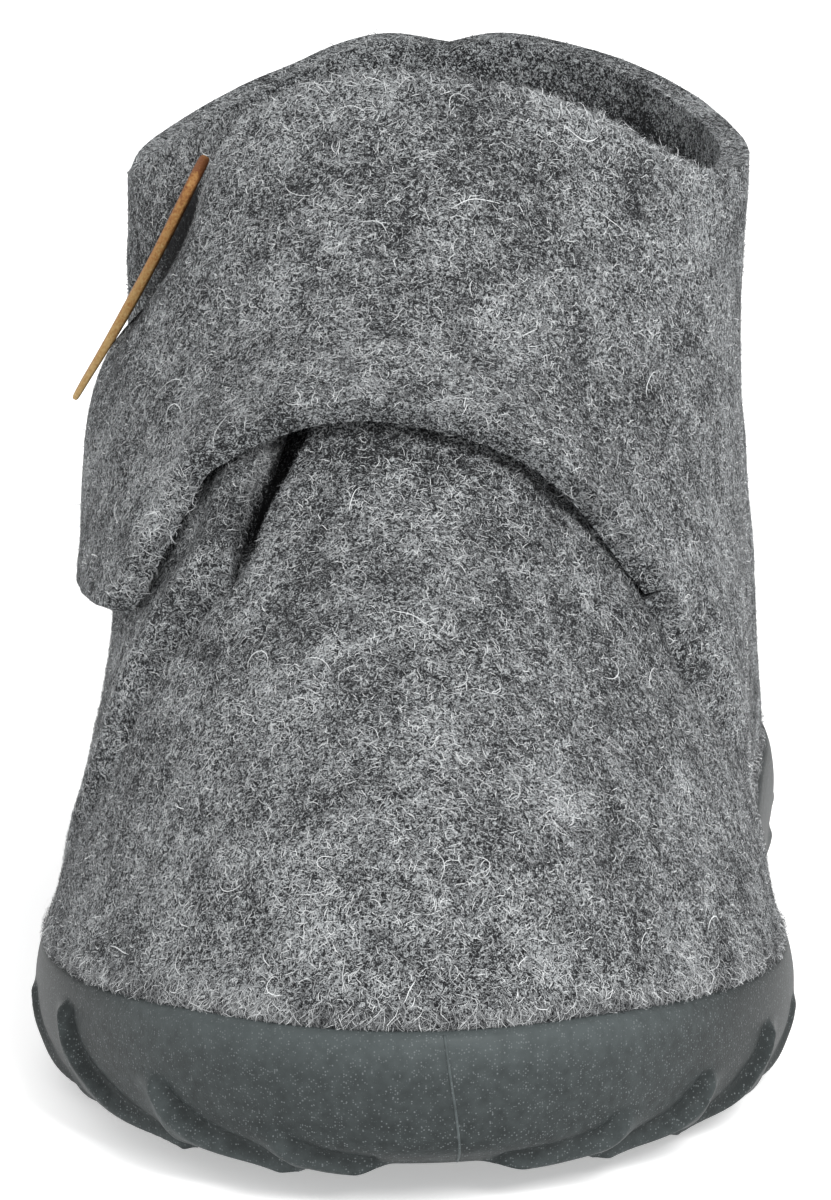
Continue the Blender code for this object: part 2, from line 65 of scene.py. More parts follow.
forward = np.array((-np.sin(VIEW_TURN) * np.cos(VIEW_TILT), np.cos(VIEW_TURN) * np.cos(VIEW_TILT),
                    -np.sin(VIEW_TILT)))
right = np.array((np.cos(VIEW_TURN), np.sin(VIEW_TURN), 0.0))
upward = np.cross(right, forward)
target = AIM_POINT - AIM_LEFT * right - AIM_DOWN * upward
lens = bpy.data.cameras.new("view")
lens.sensor_fit = "VERTICAL"
lens.sensor_height = SENSOR
lens.lens = SENSOR * VIEW_FOCAL_PIXELS / PICTURE_HEIGHT
lens.clip_end = CLIP_END
camera = bpy.data.objects.new("view", lens)
place = Matrix(np.stack((right, upward, -forward), axis=1).tolist()).to_4x4()
place.translation = target - forward * VIEW_DISTANCE
camera.matrix_world = place
bpy.context.scene.collection.objects.link(camera)
bpy.context.scene.camera = camera
print("lens %.0f mm at %.1f m" % (lens.lens, VIEW_DISTANCE))

# %% [markdown]
# ## Small tools
# Each surface below is a table of points worked out in one go. `curve` reads a smooth line through a
# short table, `ease` fades softly between two states, `bell` swells softly round one place, and `add_mesh`
# turns arrays of points and quads into a mesh in one step, which is much faster than vertex by vertex.

# %% Small tools
LATTICE = 48
LATTICE_SHIFT = 11.3
WELD_DISTANCE = 1e-7


def ease(x):
    """Smooth step: 3x^2 - 2x^3 between 0 and 1, flat outside."""
    x = np.clip(x, 0.0, 1.0)
    return x * x * (3.0 - 2.0 * x)


def curve(table, column, at):
    """Cubic Hermite curve through one column of a table; the slope at a row comes from its neighbours."""
    x = table[:, 0]
    y = table[:, column]
    slope = np.gradient(y, x)
    at = np.clip(at, x[0], x[-1])
    k = np.clip(np.searchsorted(x, at, side="right") - 1, 0, len(x) - 2)
    h = x[k + 1] - x[k]
    t = (at - x[k]) / h
    return ((1 + 2 * t) * (1 - t) ** 2 * y[k] + t * (1 - t) ** 2 * h * slope[k]
            + t * t * (3 - 2 * t) * y[k + 1] + t * t * (t - 1) * h * slope[k + 1])


def bell(x, width):
    """Bell curve exp(-(x / width)^2)."""
    return np.exp(-(x / width) ** 2)


def unit(v):
    """Each vector divided by its own length."""
    return v / np.maximum(np.linalg.norm(v, axis=-1, keepdims=True), 1e-9)


def lattice_noise(points, size, seed):
    """Soft random field: random values on a cubic lattice of that size, blended between its corners."""
    lattice = np.random.default_rng(seed).uniform(-1.0, 1.0, (LATTICE, LATTICE, LATTICE))
    place = points / size + LATTICE_SHIFT
    cell = np.floor(place).astype(int)
    part = ease(place - cell)
    total = 0.0
    for corner in np.ndindex(2, 2, 2):
        weight = np.prod(np.where(corner, part, 1.0 - part), axis=-1)
        i, j, k = np.moveaxis((cell + corner) % LATTICE, -1, 0)
        total = total + weight * lattice[i, j, k]
    return total


def add_mesh(name, points, quads):
    """Smooth-shaded mesh object from points in millimetres and an array of quads."""
    points = np.asarray(points, dtype=float).reshape(-1, 3) * MM
    quads = np.asarray(quads, dtype=np.int32).reshape(-1, 4)
    mesh = bpy.data.meshes.new(name)
    mesh.vertices.add(len(points))
    mesh.vertices.foreach_set("co", points.ravel())
    mesh.loops.add(quads.size)
    mesh.loops.foreach_set("vertex_index", quads.ravel())
    mesh.polygons.add(len(quads))
    mesh.polygons.foreach_set("loop_start", np.arange(0, quads.size, 4, dtype=np.int32))
    mesh.update(calc_edges=True)
    mesh.shade_smooth()
    piece = bpy.data.objects.new(name, mesh)
    bpy.context.scene.collection.objects.link(piece)
    return piece


def grid_quads(index, wrap=False):
    """Quads between neighbours in a 2-D array of vertex numbers; wrap joins the last column to the first."""
    if wrap:
        index = np.concatenate((index, index[:, :1]), axis=1)
    corners = (index[:-1, :-1], index[:-1, 1:], index[1:, 1:], index[1:, :-1])
    return np.stack(corners, axis=-1).reshape(-1, 4)


def add_closed_grid(name, points, flip=False):
    """Mesh of a grid of points whose last column joins the first; flip turns the faces over."""
    index = np.arange(points[..., 0].size).reshape(points.shape[:2])
    quads = grid_quads(index, wrap=True)
    return add_mesh(name, points, quads[:, ::-1] if flip else quads)


def close_seams(piece):
    """Weld points that lie on each other, so that poles and folded middles are closed."""
    work = bmesh.new()
    work.from_mesh(piece.data)
    bmesh.ops.remove_doubles(work, verts=work.verts, dist=WELD_DISTANCE)
    work.to_mesh(piece.data)
    work.free()


def set_value(piece, name, values):
    """One number per vertex, stored on the mesh for its material to read."""
    layer = piece.data.attributes.new(name, "FLOAT", "POINT")
    layer.data.foreach_set("value", np.ravel(values).astype(np.float32))


# %% [markdown]
# ## The last
# A shoe is shaped on a last, so the felt is worked out as a stack of plan outlines, one row per height.
# A row gives where the toe and heel end, how wide the outer and inner halves are at the ball and the
# heel, and how long the rounded ends are. A point of the felt is then named by s, the way round
# the outline (0 at the toe, -0.5 and 0.5 at the back seam), and z, its height.

# %% The last
FELT = 2.6
GAP = 0.3
# z, front, back, ball_lat, ball_med, heel_lat, heel_med, toe_cap, heel_cap, waist
LEVELS = np.array([
    (0.0, -66.0, 65.4, 31.4, 31.5, 30.7, 29.0, 50.0, 31.0, 1.6),
    (8.0, -66.8, 66.2, 32.1, 32.3, 31.4, 29.8, 50.0, 31.0, 1.6),
    (16.0, -66.2, 66.6, 31.8, 31.8, 31.2, 29.9, 50.0, 31.0, 1.4),
    (24.0, -63.4, 66.6, 29.8, 29.9, 29.0, 29.4, 51.0, 31.5, 0.8),
    (32.0, -57.6, 66.0, 28.3, 29.0, 28.1, 29.1, 54.0, 32.0, 0.3),
    (40.0, -47.4, 65.2, 27.8, 28.4, 27.8, 28.3, 57.0, 32.5, 0.0),
    (48.0, -35.4, 64.2, 27.6, 28.0, 27.9, 27.9, 56.0, 33.5, 0.0),
    (56.0, -23.0, 63.2, 27.8, 28.0, 28.3, 27.9, 52.0, 35.0, 0.0),
    (64.0, -12.0, 62.2, 28.4, 28.5, 28.7, 28.4, 46.0, 36.5, 0.0),
    (72.0, -2.4, 61.4, 29.2, 29.4, 29.4, 29.4, 40.0, 38.0, 0.0),
    (90.0, 17.0, 60.0, 29.6, 29.8, 29.8, 29.8, 27.0, 38.0, 0.0),
])
BALL_Y = -22.0
HEEL_Y = 36.0
TOE_ROUND = 1.96
TOE_SKEW = 2.5
HEEL_ROUND = 2.1
WAIST_Y = 8.0
WAIST_LENGTH = 22.0
DENT_DEPTH = 4.2
DENT_Y = 16.0
DENT_Z = 68.0
DENT_LENGTH = 8.0
DENT_HEIGHT = 13.0
DENT_EDGE_X = 15.0
HALF_POINTS = 361
STEP_S = 0.004
STEP_Z = 0.8


def half_outline(front, back, ball, heel, toe_cap, heel_cap, waist):
    """One side of a plan, evenly spaced: a width along y, closed at both ends by superellipse arcs."""
    turn = np.linspace(0.0, np.pi, 4 * HALF_POINTS)
    y = front + (back - front) * (1.0 - np.cos(turn)) / 2.0
    width = ball + (heel - ball) * ease((y - BALL_Y) / (HEEL_Y - BALL_Y))
    width = width - waist * bell(y - WAIST_Y, WAIST_LENGTH)
    toe = np.clip((front + toe_cap - y) / toe_cap, 0.0, 1.0)
    end = np.clip((y - back + heel_cap) / heel_cap, 0.0, 1.0)
    toe_arc = (1.0 - toe ** TOE_ROUND) ** (1.0 / TOE_ROUND)
    heel_arc = (1.0 - end ** HEEL_ROUND) ** (1.0 / HEEL_ROUND)
    x = width * toe_arc * heel_arc
    run = np.concatenate(([0.0], np.cumsum(np.hypot(np.diff(x), np.diff(y)))))
    even = np.linspace(0.0, run[-1], HALF_POINTS)
    return np.interp(even, run, x), np.interp(even, run, y)


def plan(front, back, ball_lat, ball_med, heel_lat, heel_med, toe_cap, heel_cap, waist):
    """Closed outline against s: the outer half from back to toe, then the inner half from toe to back."""
    x_lat, y_lat = half_outline(front, back, ball_lat, heel_lat, toe_cap + TOE_SKEW, heel_cap, waist)
    x_med, y_med = half_outline(front, back, ball_med, heel_med, toe_cap, heel_cap, waist)
    return np.concatenate((-x_lat[::-1], x_med[1:])), np.concatenate((y_lat[::-1], y_med[1:]))


LEVEL_Z = np.arange(0.0, LEVELS[-1, 0] + 1.0)
outlines = [plan(*[curve(LEVELS, column, z) for column in range(1, LEVELS.shape[1])]) for z in LEVEL_Z]
LEVEL_X = np.array([outline[0] for outline in outlines])
LEVEL_Y = np.array([outline[1] for outline in outlines])
LEVEL_GIRTH = np.hypot(np.diff(LEVEL_X, axis=1), np.diff(LEVEL_Y, axis=1)).sum(axis=1)
dent = DENT_DEPTH * np.exp(-((LEVEL_Y - DENT_Y) / DENT_LENGTH) ** 2
                           - ((LEVEL_Z[:, None] - DENT_Z) / DENT_HEIGHT) ** 2)
LEVEL_X = LEVEL_X + dent * np.clip(-LEVEL_X / DENT_EDGE_X, 0.0, 1.0)


def sample(grid, s, z):
    """Value of the stacked outlines at s and z, linear between stored samples, closed at the back seam."""
    u = np.mod(s + 0.5, 1.0) * (grid.shape[1] - 1)
    v = np.clip(z, 0.0, grid.shape[0] - 1.001)
    i = np.minimum(u.astype(int), grid.shape[1] - 2)
    j = v.astype(int)
    a = u - i
    b = v - j
    low = grid[j, i] * (1 - a) + grid[j, i + 1] * a
    high = grid[j + 1, i] * (1 - a) + grid[j + 1, i + 1] * a
    return low * (1 - b) + high * b


def girth(z):
    """Length round the outline at each height."""
    return np.interp(z, LEVEL_Z, LEVEL_GIRTH)


def last_point(s, z):
    """Point of the felt's outer face before any crease."""
    return np.stack((sample(LEVEL_X, s, z), sample(LEVEL_Y, s, z), z + 0.0 * s), axis=-1)


def last_normal(s, z):
    """Outward direction: cross product of a step along the outline and a step up."""
    along = last_point(s + STEP_S, z) - last_point(s - STEP_S, z)
    up = last_point(s, z + STEP_Z) - last_point(s, z - STEP_Z)
    return unit(np.cross(along, up))


print("girth at the collar %.0f mm" % girth(70.0))

# %% [markdown]
# ## Cut lines of the felt
# The vamp and the quarters part along two lines. Above their ends they are open: the vamp runs on under
# the strap as a tongue. Below, each line fades into a soft crease that the foot's bending has pressed
# into the felt. Both lines are given as y by height, and turned into s on the last.

# %% Cut lines
# z, lateral, medial
CREASES = np.array([
    (0.0, -6.0, 6.0),
    (12.0, -14.0, -1.0),
    (20.0, -21.5, -7.5),
    (28.0, -25.8, -14.0),
    (35.0, -26.0, -18.6),
    (39.0, -26.0, -18.0),
    (43.0, -26.4, -19.6),
    (46.5, -26.3, -17.6),
    (50.0, -23.2, -14.0),
    (56.0, -17.9, -5.0),
    (66.0, -7.4, 8.0),
    (73.0, -0.8, 16.0),
    (90.0, 18.3, 35.0),
])
SLIT_END_LAT = 46.0
SLIT_END_MED = 43.0
SLIT_WIDTH = 1.3
SLIT_TAPER = 5.0
UNDERLAP = 3.0
UNDERLAP_RUN = 4.0
UNDERLAP_EASE = 2.4
UNDERLAP_DROP = 4.2
SEAM_WIDTH = 0.6
LAYER_RUN = 0.8
CREASE_START_Z = 18.0
CREASE_FULL_Z = 41.0
LINE_FIRST_S = 0.004
LINE_LAST_S = 0.49
LINE_STATIONS = 300


def crease_s(z, column):
    """Place along the outline of a parting line (column 1 outer, 2 inner) at each height."""
    stations = np.linspace(LINE_FIRST_S, LINE_LAST_S, LINE_STATIONS) * (-1.0 if column == 1 else 1.0)
    heights, back = np.unique(z, return_inverse=True)
    along, up = np.meshgrid(stations, heights)
    rows = sample(LEVEL_Y, along, up)
    found = [np.interp(y, row, stations) for y, row in zip(curve(CREASES, column, heights), rows)]
    return np.array(found)[back].reshape(z.shape)


def layer_drop(s, z):
    """Depth of the tongue below the quarters: one felt layer at the strap's root, none at the outer slit."""
    start = crease_s(z, 1)
    end = crease_s(z, 2)
    across = np.clip((s - start) / (end - start), 0.0, 1.0)
    return (FELT + GAP) * ease(across / LAYER_RUN)


print("openings start %.0f mm up outside and %.0f mm up inside" % (SLIT_END_LAT, SLIT_END_MED))

# %% [markdown]
# ## Rim line
# The rubber cup ends in a rim that is high at the toe and low at the waist. The soft felt bulges a little
# where it comes out of the cup, so the rim's height is needed before the felt is shaped.

# %% Rim line
# y, height of the rim
RIM = np.array([
    (-70.0, 17.0),
    (-62.0, 16.3),
    (-50.0, 14.6),
    (-36.0, 12.8),
    (-20.0, 11.2),
    (0.0, 10.6),
    (20.0, 11.2),
    (40.0, 12.6),
    (70.0, 13.6),
])


def rim_z(y):
    """Height of the cup's rim."""
    return curve(RIM, 1, y)


print("rim %.1f mm at the toe" % rim_z(-69.0))

# %% [markdown]
# ## Strap edges
# The strap is a band of felt with curved edges. A short table gives its front and rear edge at steps along
# it. The table comes before the upper, because the upper sinks in a little behind the strap's rear edge.

# %% Strap edges
# along, front_s, front_z, rear_s, rear_z
STRAP = np.array([
    (0.00, 0.1300, 43.0, 0.1540, 74.2),
    (0.10, 0.1090, 46.4, 0.1280, 75.9),
    (0.22, 0.0710, 52.0, 0.0900, 78.5),
    (0.34, 0.0370, 55.6, 0.0480, 80.5),
    (0.46, 0.0020, 57.2, 0.0060, 81.2),
    (0.56, -0.0260, 57.0, -0.0340, 81.2),
    (0.66, -0.0540, 55.2, -0.0740, 79.4),
    (0.75, -0.0790, 52.8, -0.1080, 75.8),
    (0.83, -0.1000, 50.2, -0.1370, 69.0),
    (0.90, -0.1170, 46.8, -0.1890, 60.8),
    (0.95, -0.1260, 43.4, -0.2300, 52.5),
    (1.00, -0.1280, 39.4, -0.2560, 36.4),
])
STRAP_OUTER_ROWS = 6


def strap_rear_line(z):
    """Place along the outline of the strap's rear edge on the outer side, at each height."""
    outer = STRAP[:STRAP_OUTER_ROWS - 1:-1]
    return np.interp(z, outer[:, 4], outer[:, 3])


print("strap rear edge at s %.3f" % strap_rear_line(60.0))

# %% [markdown]
# ## Felt upper
# The upper could be modelled by hand from a cylinder, but its columns should follow the cut lines so that
# the slits open cleanly. So the grid is worked out: columns from the back seam to the outer line, over
# the vamp to the inner line, and back to the seam. The creases are soft troughs beside the lines.

# %% Felt upper
# round, lateral, medial
TOPS = np.array([
    (0.00, 73.3, 73.3),
    (0.04, 74.2, 74.2),
    (0.12, 71.7, 73.8),
    (0.22, 69.0, 72.4),
    (0.27, 68.4, 71.6),
    (0.31, 67.7, 71.1),
    (0.345, 68.8, 70.8),
    (0.38, 71.4, 70.5),
    (0.43, 75.2, 70.4),
    (0.50, 78.4, 70.4),
    (0.56, 80.0, 71.3),
    (0.62, 80.2, 72.4),
    (0.70, 80.0, 73.5),
    (0.85, 79.6, 77.0),
    (1.00, 79.5, 79.5),
])
CREASE_ROUND = 0.62
TONGUE_CORNER = 4.0
TONGUE_CORNER_START = 0.7
VAMP_COLUMNS = 84
QUARTER_COLUMNS = 78
ROWS_LOW = 44
ROWS_HIGH = 30
CUP_FLOOR = 5.0
FELT_FOOT_Z = 6.0
OUTER_TROUGH = 2.0
OUTER_TROUGH_REACH = 1.9
OUTER_ROLL = 1.1
OUTER_ROLL_AT = -3.8
OUTER_ROLL_REACH = 2.6
INNER_TROUGH = 1.0
INNER_TROUGH_WIDTH = 1.8
INNER_EASE = 7.0
INNER_FADE = 9.0
CREASE_FOOT_Z = 15.0
CREASE_HEAD_Z = 34.0
RIM_BULGE = 1.25
RIM_BULGE_END_Y = -8.0
RIM_BULGE_RUN = 22.0
RIM_BULGE_AT = 1.0
RIM_BULGE_REACH = 2.4
HOLLOW_DEPTH = 5.5
HOLLOW_Z = 62.0
HOLLOW_LENGTH = 4.0
HOLLOW_HEIGHT = 9.0
SHUT_RISE = 3.0
SHUT_RUN = 4.0

seam_to_line = np.linspace(0.0, 1.0, QUARTER_COLUMNS + 1)
over_vamp = np.linspace(-1.0, 1.0, VAMP_COLUMNS + 1)
part = np.concatenate((seam_to_line, over_vamp, seam_to_line[::-1][:-1]))
columns = np.arange(len(part))
OUTER_EDGE = QUARTER_COLUMNS
INNER_EDGE = QUARTER_COLUMNS + VAMP_COLUMNS + 2
lateral = columns <= OUTER_EDGE
medial = columns >= INNER_EDGE
vamp = ~lateral & ~medial
rounds = np.where(vamp, 1.0 - (1.0 - CREASE_ROUND) * np.abs(part), CREASE_ROUND * part)
outer_half = lateral | (vamp & (part < 0.0))
top = np.where(outer_half, curve(TOPS, 1, rounds), curve(TOPS, 2, rounds))
top = top - TONGUE_CORNER * ease((part - TONGUE_CORNER_START) / (1.0 - TONGUE_CORNER_START)) * vamp
toward_inner = np.where(vamp, (part + 1) / 2, np.where(lateral, 0, 1))
middle = SLIT_END_LAT + (SLIT_END_MED - SLIT_END_LAT) * toward_inner
low = np.linspace(0.0, 1.0, ROWS_LOW + 1)[:, None]
high = np.linspace(0.0, 1.0, ROWS_HIGH + 1)[1:, None]
felt_z = np.concatenate((FELT_FOOT_Z + (middle - FELT_FOOT_Z) * low, middle + (top - middle) * high))
outer_line = crease_s(felt_z, 1)
inner_line = crease_s(felt_z, 2)
slit = SEAM_WIDTH + (SLIT_WIDTH - SEAM_WIDTH) * ease((felt_z - SLIT_END_LAT) / SLIT_TAPER)
outer_edge = outer_line - slit / girth(felt_z)
inner_edge = inner_line + SEAM_WIDTH / girth(felt_z)
underlap = (slit + UNDERLAP) * ease((felt_z - SLIT_END_LAT) / UNDERLAP_RUN)
felt_s = np.where(part < 0.0, -part * (outer_line - underlap / girth(felt_z)), part * inner_line)
felt_s = np.where(lateral, -0.5 + (outer_edge + 0.5) * part, felt_s)
felt_s = np.where(medial, 0.5 + (inner_edge - 0.5) * part, felt_s)


def hollow_share(s, z):
    """Share of the hollow behind the strap's rear edge: a bell along the outline times one in height."""
    behind = (s - strap_rear_line(z)) * girth(z)
    return bell(behind, HOLLOW_LENGTH) * bell(z - HOLLOW_Z, HOLLOW_HEIGHT) * lateral


def crease_depth(s, z):
    """Soft creases: a layer's depth on the vamp toward the inner line, its far side easing back up over the
    quarter, a bell-shaped trough along each line, a rolled edge beside the outer one, the hollow that the
    pulled strap leaves behind the tab, and the bulge above the rim."""
    grown = ease((z - CREASE_START_Z) / (CREASE_FULL_Z - CREASE_START_Z))
    pressed = ease((z - CREASE_FOOT_Z) / (CREASE_HEAD_Z - CREASE_FOOT_Z))
    past_inner = (s - inner_line) * girth(z)
    from_outer = (s - outer_line) * girth(z)
    below = ease((SLIT_END_MED - z) / INNER_FADE)
    quarter = (FELT + GAP) * below * (1.0 - ease(past_inner / INNER_EASE))
    depth = np.where(vamp, layer_drop(s, z), np.where(medial, quarter, 0.0)) * grown
    shut = ease((SLIT_END_LAT + SHUT_RISE - z) / SHUT_RUN)
    depth = depth + OUTER_TROUGH * pressed * shut * bell(from_outer, OUTER_TROUGH_REACH)
    depth = depth - OUTER_ROLL * pressed * bell(from_outer - OUTER_ROLL_AT, OUTER_ROLL_REACH) * lateral
    depth = depth + INNER_TROUGH * pressed * below * bell(past_inner, INNER_TROUGH_WIDTH)
    depth = depth + HOLLOW_DEPTH * hollow_share(s, z)
    open_part = ease((z - SLIT_END_LAT) / UNDERLAP_RUN)
    depth = depth + UNDERLAP_DROP * open_part * ease(1.0 - from_outer / UNDERLAP_EASE) * vamp
    y = sample(LEVEL_Y, s, z)
    at_toe = ease((RIM_BULGE_END_Y - y) / RIM_BULGE_RUN)
    return depth - RIM_BULGE * at_toe * bell(z - rim_z(y) - RIM_BULGE_AT, RIM_BULGE_REACH)


felt_points = last_point(felt_s, felt_z)
felt_points = felt_points - last_normal(felt_s, felt_z) * crease_depth(felt_s, felt_z)[..., None]
felt_index = np.arange(felt_points[..., 0].size).reshape(felt_points.shape[:2])
felt_quads = grid_quads(felt_index, wrap=True).reshape(len(felt_z) - 1, len(part), 4)
keep = np.ones(felt_quads.shape[:2], dtype=bool)
keep[ROWS_LOW:, OUTER_EDGE] = False
keep[ROWS_LOW:, INNER_EDGE - 1] = False
felt_quads = felt_quads[keep]
print("upper grid", felt_points.shape[:2])

# %% [markdown]
# ## Strap
# The strap is cut in one with the inner quarter, so its first row of points is the quarter's own edge, and
# the two share vertices: no join shows. It lies one felt layer above the tongue, lifts a little at its front
# edge, tucks in under the tab and ends in a rounded lobe on the outer side.

# %% Strap
STRAP_STEPS = 72
LOBE_STEPS = 22
STRAP_ROOT_RUN = 0.18
LOBE_START = 0.90
LOBE_NARROWING = 0.5
LOBE_FLARE = 0.6
LOBE_BULGE = 0.7
BULGE_P = 0.955
BULGE_LENGTH = 0.022
BULGE_START_Q = 0.4
BULGE_RUN_Q = 0.5
FLARE_START = 0.7
TUCK = 2.2
TUCK_P = 0.865
TUCK_LENGTH = 0.06
TUCK_START = 0.70
EDGE_LIFT = 1.7
EDGE_LIFT_WIDTH = 0.16
LIFT_START = 0.06
LIFT_RUN = 0.2
LIFT_END = 0.76
LIFT_FADE = 0.14
FOLD_X = -15.2
FOLD_DEPTH = 0.45
FOLD_WIDTH = 1.3
# height and reach of the two places where the fold shows
FOLD_PLACES = ((77.0, 4.0), (61.0, 5.0))


def strap_face(p, q, root_z):
    """Outer face of the strap: p along it and q across it, blended out of the quarter's edge at p = 0."""
    toward_end = np.clip((p - LOBE_START) / (1.0 - LOBE_START), 0.0, 1.0)
    narrow = 1.0 - LOBE_NARROWING * (1.0 - np.sqrt(1.0 - toward_end ** 2))
    q = 0.5 + (q - 0.5) * narrow
    s = curve(STRAP, 1, p) * (1 - q) + curve(STRAP, 3, p) * q
    z = curve(STRAP, 2, p) * (1 - q) + curve(STRAP, 4, p) * q
    near_root = 1.0 - ease(p / STRAP_ROOT_RUN)
    root = crease_s(root_z, 2) + SEAM_WIDTH / girth(root_z)
    s = s + (root - STRAP[0, 1] * (1 - q) - STRAP[0, 3] * q) * near_root
    z = z + (root_z - STRAP[0, 2] * (1 - q) - STRAP[0, 4] * q) * near_root
    flare = LOBE_FLARE * ease((p - FLARE_START) / (1.0 - FLARE_START))
    in_lift = ease((p - LIFT_START) / LIFT_RUN) * (1.0 - ease((p - LIFT_END) / LIFT_FADE))
    lifted = EDGE_LIFT * bell(q, EDGE_LIFT_WIDTH) * in_lift
    tucked = TUCK * ease((q - TUCK_START) / (1.0 - TUCK_START)) * bell(p - TUCK_P, TUCK_LENGTH)
    bulge = LOBE_BULGE * bell(p - BULGE_P, BULGE_LENGTH) * ease((q - BULGE_START_Q) / BULGE_RUN_Q)
    rise = GAP + FELT + flare + bulge + lifted - tucked - layer_drop(s, z)
    return last_point(s, z) + last_normal(s, z) * rise[..., None]


band = np.linspace(0.0, LOBE_START, STRAP_STEPS)
lobe = LOBE_START + (1.0 - LOBE_START) * np.sin(np.linspace(0.0, np.pi / 2, LOBE_STEPS))
strap_q, strap_p = np.meshgrid(np.linspace(0.0, 1.0, ROWS_HIGH + 1), np.concatenate((band, lobe[1:])))
strap_points = strap_face(strap_p, strap_q, felt_z[ROWS_LOW:, INNER_EDGE][None, :] + 0.0 * strap_p)
in_fold = sum(bell(strap_points[..., 2] - height, reach) for height, reach in FOLD_PLACES)
strap_points[..., 1] += FOLD_DEPTH * bell(strap_points[..., 0] - FOLD_X, FOLD_WIDTH) * in_fold
strap_index = felt_index.size + np.arange(strap_p.size).reshape(strap_p.shape) - strap_p.shape[1]
strap_index[0] = felt_index[ROWS_LOW:, INNER_EDGE]
print("strap grid", strap_p.shape)

# %% [markdown]
# ## One felt piece
# Upper and strap become one mesh. Pressed felt is never quite even, so a soft random field moves the
# surface in and out by a few tenths of a millimetre.

# %% One felt piece
# share, size and seed of each field
SWELLS = ((0.16, 7.5, 3), (0.10, 3.4, 4))


def patches(points, fields):
    """Soft random patches of several sizes added together."""
    return sum(share * lattice_noise(points, size, seed) for share, size, seed in fields)


all_points = np.concatenate((felt_points.reshape(-1, 3), strap_points[1:].reshape(-1, 3)))
all_quads = np.concatenate((felt_quads, grid_quads(strap_index)))
felt = add_mesh("felt_upper", all_points, all_quads)
normals = np.empty(all_points.size)
felt.data.vertices.foreach_get("normal", normals)
all_points = all_points + normals.reshape(-1, 3) * patches(all_points, SWELLS)[:, None]
felt.data.vertices.foreach_set("co", (all_points * MM).ravel())
print("felt points", len(all_points))

# %% [markdown]
# ## Marks stored on the felt
# The paler and darker patches of the marled wool are stored on the vertices, mixed with painted shade, so
# that the cloth and the loose fibres above it agree. Little light reaches the wool beside the tab, in the
# slit, under the strap's front edge and inside the collar, so shade is painted into the colour there. Those
# places are worked out and stored too, as are a strap painted darker toward its top with a painted highlight
# along its top edge, and the cut edges, which are the fuzziest.

# %% Marks stored on the felt
# share, size and seed of each field
MOTTLES = ((0.5, 5.2, 5), (0.55, 2.3, 6), (0.5, 1.1, 7))
SHADE_TOP = np.array((-19.9, 71.2))
SHADE_FOOT = np.array((-26.8, 56.4))
SHADE_WIDTH = 1.5
SHADE_Y = 13.5
SHADE_LENGTH = 7.0
SHADE_FADE_TOP = 0.25
SHADE_FADE_FOOT = 0.3
TAB_SHADE = 5.0
SLIT_SHADE = 1.6
SLIT_REACH = 0.9
HOLLOW_SHADE = 2.0
HOLLOW_BARE = 1.6
INSIDE_START = 1.6
INSIDE_RUN = 4.5
UNDER_RUN = 22.0
EDGE_SHADOW = 2.8
SHADOW_BARE = 0.75
SHADOW_DROP = 0.6
SHADOW_REACH = 1.5
SHADOW_END_S = 0.06
COVER_FRONT = 1.0
COVER_REAR = 1.5
COVER_OUTER_S = -0.25
COVER_INNER_S = 0.105
STRAP_TOP_SHADE = 0.8
STRAP_TOP_START = 62.0
STRAP_TOP_RUN = 12.0
PALE_EDGE = 2.1
PALE_EDGE_SHARE = 0.09
EDGE_SHARE = 0.03
FRONT_FUZZ = 0.5
FUZZ_END_P = 0.70
SLIT_FUZZ_COLUMNS = 0.8


def tab_shade(points):
    """Painted shade beside the tab: a bell across the line along it in x and z, faded at its ends."""
    line = SHADE_FOOT - SHADE_TOP
    size = np.linalg.norm(line)
    away = points[..., [0, 2]] - SHADE_TOP
    along = away @ line / size ** 2
    off = (away[..., 0] * line[1] - away[..., 1] * line[0]) / size
    ends = ease(along / SHADE_FADE_TOP) * ease((1.0 - along) / SHADE_FADE_FOOT)
    return bell(off, SHADE_WIDTH) * ends * bell(points[..., 1] - SHADE_Y, SHADE_LENGTH)


def mottle_and_painted_shade(points):
    """Marled wool: patches of three sizes, with painted shade beside the tab."""
    return patches(points, MOTTLES) - TAB_SHADE * tab_shade(points)


def on_felt(upper_values, strap_values=0.0):
    """One number for each point of the upper, then for each point of the strap past its root."""
    return np.concatenate((np.ravel(upper_values), np.ravel(strap_values + np.zeros(strap_q[1:].shape))))


# Painted shade in the open slit and in the hollow behind the strap's rear edge, where shadow falls.
opened = ease((felt_z - SLIT_END_LAT) / UNDERLAP_RUN)
in_slit = on_felt(opened * ease(SLIT_REACH - (felt_s - outer_line) * girth(felt_z)) * vamp)
in_hollow = on_felt(hollow_share(felt_s, felt_z))
set_value(felt, "mottle_and_painted_shade", mottle_and_painted_shade(all_points) - SLIT_SHADE * in_slit - HOLLOW_SHADE * in_hollow)
strap_front = np.interp(felt_s, STRAP[::-1, 1], STRAP[::-1, 2])
strap_rear = np.interp(felt_s, STRAP[::-1, 3], STRAP[::-1, 4])
covered = (felt_z > strap_front + COVER_FRONT) & (felt_z < strap_rear - COVER_REAR)
covered = covered & (felt_s > COVER_OUTER_S) & (felt_s < COVER_INNER_S)
# Painted shadow on the tongue just below the strap's front edge; the nap is thinned there too.
edge_shadow = bell(felt_z - strap_front + SHADOW_DROP, SHADOW_REACH)
edge_shadow = edge_shadow * ease(1.0 - felt_s / SHADOW_END_S) * vamp
bare = on_felt(np.maximum(covered, SHADOW_BARE * edge_shadow))
set_value(felt, "nap", 1.0 - np.maximum(np.maximum(bare, in_slit), ease(HOLLOW_BARE * in_hollow)))
# Painted shade inside the collar, deeper below its edge; the strap's inner face is fully shaded.
set_value(felt, "inside", on_felt(ease((top - felt_z - INSIDE_START) / INSIDE_RUN), 1.0))
